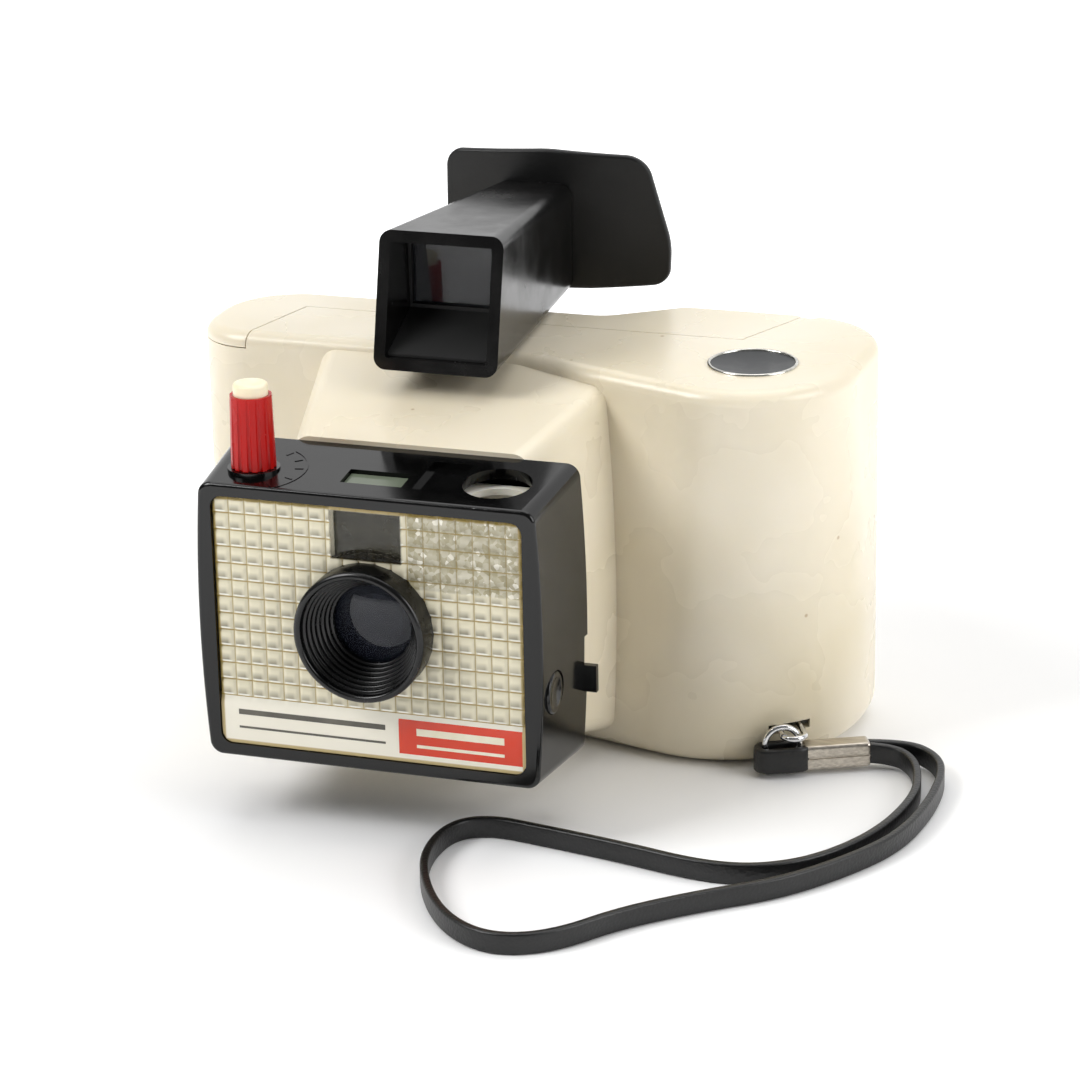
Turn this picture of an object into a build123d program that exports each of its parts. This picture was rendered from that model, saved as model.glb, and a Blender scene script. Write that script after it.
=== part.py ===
"""Rigid-bodied roll-film instant camera, built as it comes apart on the bench.

Units are millimetres. X runs to the right of someone facing the lens, Y runs from the
lens towards the back, and Z runs up. While the pieces are made, x = 0 is the lens axis,
y = 0 is the face of the shutter housing and z = 0 is the base. save_all() then moves
every piece so that the origin is at the bottom centre of the camera without its strap.
"""

from build123d import *
from math import cos, radians, sin, tan
import os

# ---------------------------------------------------------------- driving sizes
WALL = 2.2                 # moulded wall of the body and housing
SEAM_GAP = 0.25            # gap along a parting line
FIT = 0.15                 # clearance of a piece that drops into a seat
RUN = 0.08                 # radial clearance of a turning or sliding piece

# Body, in plan
BODY_TOP = 89.6
BODY_FRONT = 64.0          # front of the left wing
HUMP_BACK = 111.5          # back of the roll chamber
LEFT_END = -65.8
RIGHT_END = 86.5
END_FRONT_RADIUS = 13.0
END_REAR_RADIUS = 18.0
VALLEY_X = 12.0            # where the front starts to slope out to the grip
GRIP_CORNER_TOP = 38.5     # y where the grip's slope would meet the right end, at the top
GRIP_CORNER_BASE = 45.5    # the same at the base: the grip leans back
GRIP_RADIUS_TOP = 25.0
GRIP_RADIUS_BASE = 34.0
REAR_RADIUS = 20.0
VALLEY_RADIUS = 14.0
HUMP_START = 21.0
HUMP_END = 37.0
HUMP_RADIUS = 8.0
TOP_EDGE = 3.0
BASE_EDGE = 7.0

# Parting line between the front shell and the back door, in plan
CAP_DEPTH = 3.6            # the door's cap wraps this far down over the left end
CAP_FRONT_Y = 58.0         # the cap reaches past the front of the left end
SEAM_END_Y = 78.0          # below the cap, the door's edge on the left end
SEAM_NOTCH_X = -52.0
SEAM_LEFT_X = -46.4
SEAM_Y = 87.5
SEAM_RIGHT_X = 57.0

# Snout that carries the shutter housing
SNOUT_X = 1.5              # the snout stands a little right of the lens axis
SNOUT_FRONT_Y = 24.8
SNOUT_FRONT_HALF = 26.4
SNOUT_BASE_HALF = 35.2
SNOUT_FRONT_Z = (15.0, 80.4)
SNOUT_BASE_Z = (3.6, 87.4)
SNOUT_BULGE = 1.8
SNOUT_CORNER = 4.0
FOOT_RAIL_X = (-20.0, 22.0)
FOOT_RAIL_Y = (61.6, 66.0)

# Shutter housing
HOUSE_DEPTH = SNOUT_FRONT_Y
HOUSE_FRONT_HALF = 37.0
HOUSE_REAR_HALF = 39.0
HOUSE_FRONT_Z = (15.4, 76.9)
HOUSE_REAR_Z = (14.1, 79.4)
HOUSE_BULGE = 1.3
HOUSE_CORNER = 3.0
HOUSE_EDGE = 0.9
FRONT_WALL = 2.8
BACK_THICK = 1.9

# Front panel and what is stacked behind it
PANEL_X = (-34.4, 34.4)
PANEL_Z = (18.2, 74.2)
PANEL_CORNER = 2.6
PANEL_SET_BACK = 0.5
PANEL_THICK = 2.2
BACKING_THICK = 1.1
STRIP_TOP_Z = 28.9         # top of the cream name strip
BADGE_X = (6.0, 33.6)
BADGE_Z = (20.1, 28.0)
BADGE_THICK = 0.5
METER_X = (-7.8, 7.8)
METER_Z = (60.0, 73.2)
FLASH_X = (8.8, 33.6)
FLASH_Z = (57.2, 73.4)
WINDOW_LEDGE = 1.2
TOP_WINDOW_X = (-7.4, 6.2)
TOP_WINDOW_Y = (6.2, 12.8)
TOP_WINDOW_DEPTH = (0.9, 1.7)  # of the pane's two faces below the housing's top
TOP_STEP_DEPTH = 1.2
TOP_STEP_X = (8.6, 17.4)
TOP_STEP_Y = (6.0, 20.0)
SIDE_PLUG_Y = 7.0
SIDE_PLUG_Z = 35.0
SIDE_PLUG_RADIUS = 4.6
SIDE_PLUG_DEPTH = 1.6

# Lens
LENS_Z = 47.7
HOOD_RADIUS = 14.5
HOOD_FRONT = -6.0
HOOD_MOUTH = 12.8
HOOD_THROAT = 8.6
HOOD_FLANGE = HOOD_RADIUS + 2.1
HOOD_STEPS = 6
LENS_RADIUS = 9.3
LENS_Y = 3.0
LENS_THICK = 2.4
LENS_CURVE = 30.0
APERTURE = 6.0

# Exposure knob and release plunger
KNOB_X = -27.8
KNOB_Y = 9.0
KNOB_BASE_RADIUS = 4.8
KNOB_TOP_RADIUS = 4.45
KNOB_Z = (78.4, 94.2)
KNOB_RIBS = 14
KNOB_FLUTE = 0.55
KNOB_FOOT_Z = 52.0
DRIVE_RADIUS = 2.0         # the shaft's foot rolls along the aperture slide
CAP_RADIUS = 3.7
CAP_TOP_Z = 96.7
CAP_SUNK = 0.8             # the cap starts this far down in the knob's mouth
RELEASE_TRAVEL = 2.2
ROD_RADIUS = 1.0
ROD_FOOT_Z = 45.5
SPRING_WIRE = 0.3
SPRING_RADIUS = 0.9        # of the coil's centre line
SPRING_TURNS = 5

# Shutter works
BLADE_Y = (9.4, 10.0)
BLADE_PIVOT = (-12.0, 36.0)
BLADE_SWING = 50.0
BLADE_RADIUS = 7.4
BLADE_PIN = 1.2
SLIDE_THICK = 0.5
SLIDE_X = (-34.8, 12.0)
SLIDE_Z = (40.6, 55.8)
SLIDE_TRAVEL = 5.2
GUIDE_TALL = 1.2
BOARD_Y = (13.0, 14.5)
BOARD_X = (-33.0, 8.4)
BOARD_Z = (18.6, 72.0)
PILLARS = ((-20.0, 71.4), (-20.0, 24.0), (19.0, 24.0))
PILLAR_RADIUS = 3.0
SCREW_RADIUS = 1.3
SCREW_HEAD = 2.4
SCREW_HEAD_TALL = 1.3

# Flash
BULB_X = 25.3
BULB_Y = 12.1
BULB_HOLE = 7.35
REFLECTOR_X = (9.0, 34.2)
REFLECTOR_REAR = HOUSE_DEPTH - 4.4
REFLECTOR_Z = (57.0, 74.9)
SOCKET_RADIUS = 5.2
SOCKET_HOLE = 3.9
SOCKET_Z = (49.0, 57.0)
EJECT_TRAVEL = 6.4
EJECT_TAB_Z = (29.0, 35.0)
EJECT_TAB_Y = (HOUSE_DEPTH - 1.5, HOUSE_DEPTH - 0.1)
EJECT_TAB_X = 42.6
EJECT_PIN = 1.5

# Batteries in the snout
CELL_RADIUS = 7.1
CELL_LENGTH = 49.0
CELL_SPOTS = ((39.0, 22.0), (40.0 + 2 * CELL_RADIUS, 18.6))    # (y, z) of each cell's axis
TRAY_ROOF = 0.75           # over each cell
TRAY_END = 0.5
TRAY_EDGE = 0.7
CONTACT_THICK = 0.6
BATTERY_DOOR_X = (-26.0, 29.0)
BATTERY_DOOR_Y = (31.5, 61.0)

# Light path
FILM_Y = 86.6              # plane of the film gate's back face
GATE_THICK = 2.0
GATE_X = (-44.0, 42.0)
GATE_Z = (6.5, 83.5)
PICTURE = (73.0, 54.0)
CONE_WALL = 1.2
CONE_FRONT = (19.0, 17.0)

# Spreader rollers at the left end
ROLLER_X = -49.5
ROLLER_RADIUS = 4.4
ROLLER_NIP = 0.6
JOURNAL_RADIUS = 1.8
EAR_THICK = 2.0
EXIT_SLOT = 3.4

# Door hinge and latch
HINGE_X = 66.8
HINGE_Y = 110.4
KNUCKLE_RADIUS = 2.6
KNUCKLE_RELIEF = 3.05
PIN_RADIUS = 1.1
KNUCKLE_Z = (9.0, 26.0, 64.0, 84.0)
KNUCKLE_GAP = 0.3
LATCH_Y = (79.6, 84.4)
LATCH_Z = (40.0, 50.0)
LATCH_TRAVEL = 5.0
LATCH_PROUD = 1.0
LATCH_NECK_SHORT = 3.0     # how much shorter the neck is than the grip, at each end
LATCH_NECK_THIN = 1.0

# Viewfinder
FINDER_FRONT_Y = 48.4      # middle of the leaning front frame
FINDER_LEAN = 13.3         # degrees: the lower lip stands ahead of the upper one
FINDER_FRONT = (28.4, 30.3)
FINDER_REAR_Y = 114.5
FINDER_REAR = (18.2, 25.2)
FINDER_BASE_Z = BODY_TOP + 0.4
FINDER_FRAME = 2.6
FINDER_WALL = 1.6
FINDER_CORNER = 2.8
FOOT_Y = (63.0, 85.0)
FOOT_HALF = 6.0
FINDER_SCREW_Y = (70.0, 80.0)
MASK_Y = (60.0, 61.4)
MASK_WINDOW_X = (-10.2, 8.4)
MASK_WINDOW_Z = (FINDER_BASE_Z + 10.8, FINDER_BASE_Z + 24.4)
FRONT_LENS_THICK = 1.6
EYE_LENS_Y = (103.0, 105.0)
SHIELD_THICK = 2.0
SHIELD_CURVE = 90.0
SHIELD_EDGE = 0.7
COLLAR_Y = 110.0
COLLAR_WALL = 1.4

# Disc let into the top
DISC_X = 63.9
DISC_Y = 71.1
DISC_RADIUS = 9.8
DISC_DEPTH = 1.6
DISC_DISH = 40.0

# Roll chamber
ROLL_X = 62.0
ROLL_Y = 80.0
ROLL_PIN = 3.0
ROLL_PIN_LONG = 4.0

# Wrist strap, which lies on the surface beside the camera
STRAP_WIDE = 4.6           # stands on its edge
STRAP_THICK = 1.8
STRAP_FLOOR = 0.2
FERRULE_X = 85.2
FERRULE_Y = 62.2
FERRULE_TURN = 26.0
FERRULE_LONG = 15.0
FERRULE_DEEP = 4.8
FERRULE_Z = (1.2, 6.9)
EYE_LONG = 6.4
EYE_DEEP = 6.4
EYE_BAND = 1.8
RING_RADIUS = 3.8
RING_WIRE = 0.7
RING_FOOT = 2.8            # lowest point of the ring above the base
STAPLE_Z = 9.1
STAPLE_HALF = 2.5
STAPLE_LONG = 7.4
STRAP_ROUTE = [
    (92.36, 64.63), (97.6, 66.6), (102.6, 62.9), (105.4, 55.5), (107.3, 44.2), (104.3, 24.5),
    (95.6, 7.9), (84.9, -0.3), (72.5, -1.8), (54.0, 2.8), (35.0, 6.3), (23.2, 8.2),
    (16.0, 3.0), (15.4, -11.5), (20.4, -25.3), (28.4, -37.8), (37.3, -44.8), (45.9, -45.6),
    (54.6, -40.3), (63.3, -27.8), (76.5, -15.7), (90.5, -5.2), (101.5, 9.6), (108.7, 24.1),
    (111.0, 42.5), (110.2, 59.1), (106.4, 67.0), (99.6, 69.9), (91.53, 66.34),
]
CORNER_SHARE = 0.45        # share of the shorter run that a bend takes up

LARGE = 300.0              # longer than anything in the camera

# Worked out from the sizes above
PANEL_BACK = PANEL_SET_BACK + PANEL_THICK
CARD_BACK = PANEL_BACK + BACKING_THICK
HOUSE_INNER = CARD_BACK + FRONT_WALL
SLIDE_Y = (KNOB_Y + DRIVE_RADIUS + RUN, KNOB_Y + DRIVE_RADIUS + RUN + SLIDE_THICK)
NIP_Y = FILM_Y + 1.0
BODY_BACK = NIP_Y + ROLLER_NIP / 2 + 2 * ROLLER_RADIUS + 1.1 + WALL    # back of the left wing
ROLLER_Z = (GATE_Z[0] + 3.5, GATE_Z[1] - 3.5)
ROLLER_OFFSET = ROLLER_RADIUS + ROLLER_NIP / 2
RING_Z = RING_FOOT + RING_WIRE + RING_RADIUS
EYE_AT = -(FERRULE_LONG / 2 + EYE_LONG - 2.0)   # middle of the strap's eye, along the ferrule


# ---------------------------------------------------------------- small helpers
def block(x, y, z):
    """A box from three (low, high) pairs."""
    size = [pair[1] - pair[0] for pair in (x, y, z)]
    middle = [(pair[0] + pair[1]) / 2 for pair in (x, y, z)]
    return Pos(*middle) * Box(*size)


def upright(x, y, z, radius):
    """A cylinder along Z from z[0] to z[1]."""
    return Pos(x, y, (z[0] + z[1]) / 2) * Cylinder(radius, z[1] - z[0])


def along_y(x, y, z, radius):
    """A cylinder along Y from y[0] to y[1]."""
    return Pos(x, (y[0] + y[1]) / 2, z) * Rot(90, 0, 0) * Cylinder(radius, y[1] - y[0])


def along_x(x, y, z, radius):
    """A cylinder along X from x[0] to x[1]."""
    return Pos((x[0] + x[1]) / 2, y, z) * Rot(0, 90, 0) * Cylinder(radius, x[1] - x[0])


def facing(x, y, z):
    """A plane that faces the front, with its own x along X and its own y along Z."""
    return Plane(origin=(x, y, z), x_dir=(1, 0, 0), z_dir=(0, -1, 0))


def grown(pair, by):
    """A (low, high) pair made longer by the same amount at both ends."""
    return (pair[0] - by, pair[1] + by)


def bulged(half, z, bulge, corner, x=0.0):
    """A four-sided outline in X and Z whose two upright sides bow out."""
    middle = (z[0] + z[1]) / 2
    low_left = (x - half, z[0])
    low_right = (x + half, z[0])
    top_right = (x + half, z[1])
    top_left = (x - half, z[1])
    edges = [
        Line(low_left, low_right),
        ThreePointArc(low_right, (x + half + bulge, middle), top_right),
        Line(top_right, top_left),
        ThreePointArc(top_left, (x - half - bulge, middle), low_left),
    ]
    face = make_face(edges)
    return fillet(face.vertices(), corner)


def frustum(front, rear, y_front, y_rear):
    """A solid between two outlines that stand in X and Z."""
    return loft([facing(0, y_front, 0) * front, facing(0, y_rear, 0) * rear])


def slab(outline, y):
    """An outline drawn in X and Z, made solid from y[0] to y[1]."""
    return extrude(facing(0, y[1], 0) * outline, y[1] - y[0])


def rounded(x, z, corner):
    """A rectangle in X and Z with round corners."""
    outline = RectangleRounded(x[1] - x[0], z[1] - z[0], corner)
    return Pos((x[0] + x[1]) / 2, (z[0] + z[1]) / 2) * outline


def mix(a, b, share):
    """The value that share of the way from a to b gives."""
    return a + (b - a) * share


# ---------------------------------------------------------------- body
def body_outline(corner_y, grip_radius):
    """The body seen from above. corner_y sets how far forward the grip stands."""
    points = [
        (LEFT_END, BODY_FRONT),
        (VALLEY_X, BODY_FRONT),
        (RIGHT_END, corner_y),
        (RIGHT_END, HUMP_BACK),
        (HUMP_END, HUMP_BACK),
        (HUMP_START, BODY_BACK),
        (LEFT_END, BODY_BACK),
    ]
    radii = [
        END_FRONT_RADIUS, VALLEY_RADIUS, grip_radius, REAR_RADIUS,
        HUMP_RADIUS, HUMP_RADIUS, END_REAR_RADIUS,
    ]
    return FilletPolyline(*points, radius=radii, close=True)


def body_solid(inset):
    """The body as one solid, taken in by inset on every side."""
    levels = (
        (inset, GRIP_CORNER_BASE, GRIP_RADIUS_BASE),
        (BODY_TOP - inset, GRIP_CORNER_TOP, GRIP_RADIUS_TOP),
    )
    faces = []
    for z, corner_y, grip_radius in levels:
        face = make_face(body_outline(corner_y, grip_radius))
        if inset:
            face = offset(face, -inset)
        faces.append(Pos(0, 0, z) * face)
    solid = loft(faces)
    return fillet(solid.edges().group_by(Axis.Z)[0], BASE_EDGE - inset)


def snout_at(y, inset):
    """The snout's outline at one distance from the lens, taken in by inset."""
    share = (y - SNOUT_FRONT_Y) / (BODY_FRONT - SNOUT_FRONT_Y)
    half = mix(SNOUT_FRONT_HALF, SNOUT_BASE_HALF, share) - inset
    low = mix(SNOUT_FRONT_Z[0], SNOUT_BASE_Z[0], share) + inset
    high = mix(SNOUT_FRONT_Z[1], SNOUT_BASE_Z[1], share) - inset
    return bulged(half, (low, high), SNOUT_BULGE, max(SNOUT_CORNER - inset, 1.0), SNOUT_X)


def snout_solid(y_front, y_rear, inset):
    """The snout between two distances from the lens, taken in by inset."""
    return frustum(snout_at(y_front, inset), snout_at(y_rear, inset), y_front, y_rear)


def body_skin():
    """The whole moulded skin before it is parted into shell and door."""
    outside = body_solid(0)
    outside = fillet(outside.edges().group_by(Axis.Z)[-1], TOP_EDGE)
    outside += snout_solid(SNOUT_FRONT_Y, BODY_FRONT + WALL, 0)
    inside = body_solid(WALL)
    inside += snout_solid(SNOUT_FRONT_Y + WALL, BODY_FRONT + 2 * WALL, WALL)
    return outside - inside


def door_region(gap):
    """Everything that belongs to the back door, drawn back from the seam by gap."""
    far_left = LEFT_END - 40
    far_back = HUMP_BACK + 60
    main = Polyline(
        (far_left, SEAM_END_Y + gap),
        (mix(SEAM_NOTCH_X, SEAM_LEFT_X, 0.58) - gap, SEAM_END_Y + gap),
        (SEAM_LEFT_X - gap, SEAM_Y + gap),
        (SEAM_RIGHT_X - gap, SEAM_Y + gap),
        (HINGE_X - gap, HUMP_BACK),
        (HINGE_X - gap, far_back),
        (far_left, far_back),
        close=True,
    )
    cap = Polyline(
        (far_left, CAP_FRONT_Y),
        (SEAM_NOTCH_X - gap, CAP_FRONT_Y),
        (SEAM_NOTCH_X - gap, BODY_FRONT),
        (SEAM_LEFT_X - gap, SEAM_Y + gap),
        (far_left, SEAM_Y + gap),
        close=True,
    )
    region = extrude(make_face(main), BODY_TOP + 1)
    cap_top = Pos(0, 0, BODY_TOP - CAP_DEPTH + gap) * extrude(make_face(cap), CAP_DEPTH + 1)
    return region + cap_top


def hinge_relief():
    """The space round the hinge pin that both walls stay out of."""
    return upright(HINGE_X, HINGE_Y, (-1, BODY_TOP + 1), KNUCKLE_RELIEF)


def knuckle(z, side):
    """One hinge barrel with the web that joins it to the wall on that side."""
    barrel = upright(HINGE_X, HINGE_Y, z, KNUCKLE_RADIUS)
    reach = KNUCKLE_RELIEF + 1.5
    x = (HINGE_X, HINGE_X + reach) if side > 0 else (HINGE_X - reach, HINGE_X)
    web = block(x, (HUMP_BACK - WALL, HUMP_BACK - 0.1), z)
    return barrel + web - upright(HINGE_X, HINGE_Y, z, PIN_RADIUS + RUN / 2)


def battery_opening(gap):
    """The part of the snout's underside that the battery door fills."""
    x = grown(BATTERY_DOOR_X, -gap)
    y = grown(BATTERY_DOOR_Y, -gap)
    return block(x, y, (0, SNOUT_FRONT_Z[0] + WALL))


def at_ferrule(x=0.0, y=0.0, z=0.0):
    """A place measured from the middle of the strap's ferrule, along the ferrule."""
    return Pos(FERRULE_X, FERRULE_Y, 0) * Rot(0, 0, FERRULE_TURN) * Pos(x, y, z)


def front_shell(skin):
    """Cream front shell: left wing, grip, roll chamber, snout and its foot rail in one moulding."""
    shell = skin - door_region(0) - hinge_relief()
    shell += knuckle((KNUCKLE_Z[0], KNUCKLE_Z[1]), 1)
    shell += knuckle((KNUCKLE_Z[2], KNUCKLE_Z[3]), 1)
    shell -= upright(DISC_X, DISC_Y, (BODY_TOP - DISC_DEPTH, BODY_TOP + 1), DISC_RADIUS)
    snout_wall = (SNOUT_FRONT_Y - 1, SNOUT_FRONT_Y + WALL + 1)
    shell -= along_y(0, snout_wall, LENS_Z, CONE_FRONT[1] / 2)
    for x, z in PILLARS:
        shell -= along_y(x, snout_wall, z, SCREW_RADIUS + FIT)
    for y in FINDER_SCREW_Y:
        shell -= upright(0, y, (BODY_TOP - WALL - 1, BODY_TOP + 1), SCREW_RADIUS + FIT)
    shell += block(FOOT_RAIL_X, FOOT_RAIL_Y, (0, SNOUT_BASE_Z[0] + WALL))
    shell -= battery_opening(0)
    slot = Box(2 * STAPLE_HALF + 4 * RING_WIRE + 2, 14, 2 * RING_WIRE + 0.7)
    shell -= at_ferrule(EYE_AT + STAPLE_HALF, 8, STAPLE_Z) * slot
    return shell


def back_door(skin):
    """Cream back door: the rear wall, the left end and their share of top and base."""
    door = skin & door_region(SEAM_GAP)
    door -= hinge_relief()
    door += knuckle((KNUCKLE_Z[1] + KNUCKLE_GAP, KNUCKLE_Z[2] - KNUCKLE_GAP), -1)
    end = (LEFT_END - 5, LEFT_END + END_REAR_RADIUS / 2)
    exit_y = (NIP_Y - EXIT_SLOT / 2, NIP_Y + EXIT_SLOT / 2)
    door -= block(end, exit_y, grown(ROLLER_Z, -2))
    neck_z = grown(LATCH_Z, -LATCH_NECK_SHORT)
    slot_z = (neck_z[0] - FIT, neck_z[1] + LATCH_TRAVEL + FIT)
    return door - block(end, grown(LATCH_Y, FIT - LATCH_NECK_THIN), slot_z)


def hinge_pin():
    """Steel pin through the door's three knuckles."""
    return upright(HINGE_X, HINGE_Y, (KNUCKLE_Z[0] - 0.6, KNUCKLE_Z[3] + 0.6), PIN_RADIUS)


def door_latch():
    """Black catch on the left end: a grip outside, a neck through the slot, a plate inside."""
    grip = block((LEFT_END - LATCH_PROUD, LEFT_END - 0.1), LATCH_Y, LATCH_Z)
    neck_z = grown(LATCH_Z, -LATCH_NECK_SHORT)
    neck = block((LEFT_END - 0.1, LEFT_END + WALL + 0.5), grown(LATCH_Y, -LATCH_NECK_THIN), neck_z)
    plate = block((LEFT_END + WALL + 0.4, LEFT_END + WALL + 1.8), LATCH_Y, LATCH_Z)
    return grip + neck + plate


def top_disc():
    """Dark disc with a dished face, let into the top above the roll."""
    z = (BODY_TOP - DISC_DEPTH, BODY_TOP + 0.2)
    disc = upright(DISC_X, DISC_Y, z, DISC_RADIUS - FIT)
    dish = Pos(DISC_X, DISC_Y, BODY_TOP - 1.0 + DISC_DISH) * Sphere(DISC_DISH)
    return disc - dish


def roll_pin(z):
    """A round pin that the film roll turns on."""
    return upright(ROLL_X, ROLL_Y, z, ROLL_PIN)


# ---------------------------------------------------------------- light path
def light_cone():
    """Black tapered tunnel from the lens to the film gate."""
    front_y = SNOUT_FRONT_Y + WALL
    rear_y = FILM_Y - GATE_THICK
    shapes = []
    for wall in (CONE_WALL, 0):
        front = Pos(0, LENS_Z) * Rectangle(CONE_FRONT[0] + 2 * wall, CONE_FRONT[1] + 2 * wall)
        rear = Pos(0, LENS_Z) * Rectangle(PICTURE[0] + 2 * wall, PICTURE[1] + 2 * wall)
        shapes.append(frustum(front, rear, front_y, rear_y))
    return shapes[0] - shapes[1]


def film_gate():
    """Gate plate behind the cone, with ears at its left that carry the fixed roller."""
    y = (FILM_Y - GATE_THICK, FILM_Y)
    plate = block(GATE_X, y, GATE_Z)
    plate -= slab(Pos(0, LENS_Z) * Rectangle(*PICTURE), grown(y, 1))
    axis_y = NIP_Y - ROLLER_OFFSET
    for z in ((GATE_Z[0], GATE_Z[0] + EAR_THICK), (GATE_Z[1] - EAR_THICK, GATE_Z[1])):
        plate += block((ROLLER_X - 4, GATE_X[0] + 2), (axis_y - 4, FILM_Y), z)
        plate -= upright(ROLLER_X, axis_y, grown(z, 1), JOURNAL_RADIUS + RUN)
    return plate


def roller(axis_y):
    """A spreader roller with a journal at each end."""
    barrel = upright(ROLLER_X, axis_y, ROLLER_Z, ROLLER_RADIUS)
    return barrel + upright(ROLLER_X, axis_y, GATE_Z, JOURNAL_RADIUS)


def door_bracket():
    """Bracket on the inside of the door that carries the second roller."""
    axis_y = NIP_Y + ROLLER_OFFSET
    back = (BODY_BACK - WALL - 0.6, BODY_BACK - WALL)
    foot_x = (ROLLER_X + 2.6, ROLLER_X + 8.5)
    bracket = block(foot_x, back, GATE_Z)
    for z in ((GATE_Z[0], GATE_Z[0] + EAR_THICK), (GATE_Z[1] - EAR_THICK, GATE_Z[1])):
        bracket += block((ROLLER_X - 3, foot_x[1]), (axis_y - 3, axis_y + 2.8), z)
        bracket += block(foot_x, (axis_y, back[1]), z)
        bracket -= upright(ROLLER_X, axis_y, grown(z, 1), JOURNAL_RADIUS + RUN)
    return bracket


def pressure_plate():
    """Flat plate in the door that holds the film against the gate."""
    return block((-40, 40), (FILM_Y + SEAM_GAP + 0.35, FILM_Y + 1.8), grown(GATE_Z, -6))


def plate_spring():
    """Bowed leaf between the door's back wall and the pressure plate."""
    plate_y = FILM_Y + 1.8
    back_y = BODY_BACK - WALL
    outline = make_face([
        ThreePointArc((-22, plate_y), (0, back_y), (22, plate_y)),
        Line((22, plate_y), (21, plate_y)),
        ThreePointArc((21, plate_y), (0, back_y - 0.6), (-21, plate_y)),
        Line((-21, plate_y), (-22, plate_y)),
    ])
    return Pos(0, 0, LENS_Z - 8) * extrude(outline, 16)


# ---------------------------------------------------------------- batteries
def cell(spot):
    """One round cell lying across the snout, with its small positive cap."""
    half = CELL_LENGTH / 2
    can = along_x((SNOUT_X - half, SNOUT_X + half - 1.2), spot[0], spot[1], CELL_RADIUS)
    return can + along_x((SNOUT_X + half - 1.2, SNOUT_X + half), spot[0], spot[1], 2.6)


def battery_tray():
    """Black saddle that holds both cells from above, open at the bottom."""
    half = CELL_LENGTH / 2 + CONTACT_THICK + FIT
    x = (SNOUT_X - half - TRAY_END, SNOUT_X + half + TRAY_END)
    tray = None
    for y, z in CELL_SPOTS:
        over = (z - 1, z + CELL_RADIUS + TRAY_ROOF)
        piece = block(x, grown((y - CELL_RADIUS, y + CELL_RADIUS), TRAY_EDGE), over)
        tray = piece if tray is None else tray + piece
    for y, z in CELL_SPOTS:
        tray -= along_x((SNOUT_X - half, SNOUT_X + half), y, z, CELL_RADIUS + FIT)
        cell_y = (y - CELL_RADIUS - FIT, y + CELL_RADIUS + FIT)
        tray -= block((SNOUT_X - half, SNOUT_X + half), cell_y, (z - 2, z))
    (y_front, z_front), (y_rear, _) = CELL_SPOTS
    for side in (-1, 1):
        near = SNOUT_X + side * (half - CONTACT_THICK - 2 * FIT)
        far = SNOUT_X + side * half
        ends = (min(near, far), max(near, far))
        tray -= block(ends, (y_front - 3 - FIT, y_rear + 3 + FIT), (0, z_front + 3 + FIT))
    return tray


def contact(side):
    """Sprung strip at one end of the cells."""
    near = SNOUT_X + side * CELL_LENGTH / 2
    far = near + side * CONTACT_THICK
    x = (min(near, far), max(near, far))
    (y_front, z_front), (y_rear, z_rear) = CELL_SPOTS
    strip = block(x, (y_front - 3, y_rear + 3), (z_rear, z_rear + 5))
    return strip + block(x, (y_front - 3, y_front + 3), (z_rear, z_front + 3))


# ---------------------------------------------------------------- shutter housing
def housing_at(y, inset):
    """The housing's outline at one distance from its face, taken in by inset."""
    share = y / HOUSE_DEPTH
    half = mix(HOUSE_FRONT_HALF, HOUSE_REAR_HALF, share) - inset
    low = mix(HOUSE_FRONT_Z[0], HOUSE_REAR_Z[0], share) + inset
    high = mix(HOUSE_FRONT_Z[1], HOUSE_REAR_Z[1], share) - inset
    return bulged(half, (low, high), HOUSE_BULGE, max(HOUSE_CORNER - inset, 0.8))


def housing_solid(y, inset):
    """The housing between two distances from its face, taken in by inset."""
    return frustum(housing_at(y[0], inset), housing_at(y[1], inset), y[0], y[1])


def top_layer(x, y, outer, inner):
    """The part of the housing's sloping top between two depths below its surface."""
    span = (-2, HOUSE_DEPTH + 2)
    middle = LENS_Z
    column = block(x, y, (middle, HOUSE_REAR_Z[1] + 5))
    if outer:
        column = column & housing_solid(span, outer)
    return column - housing_solid(span, inner)


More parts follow.
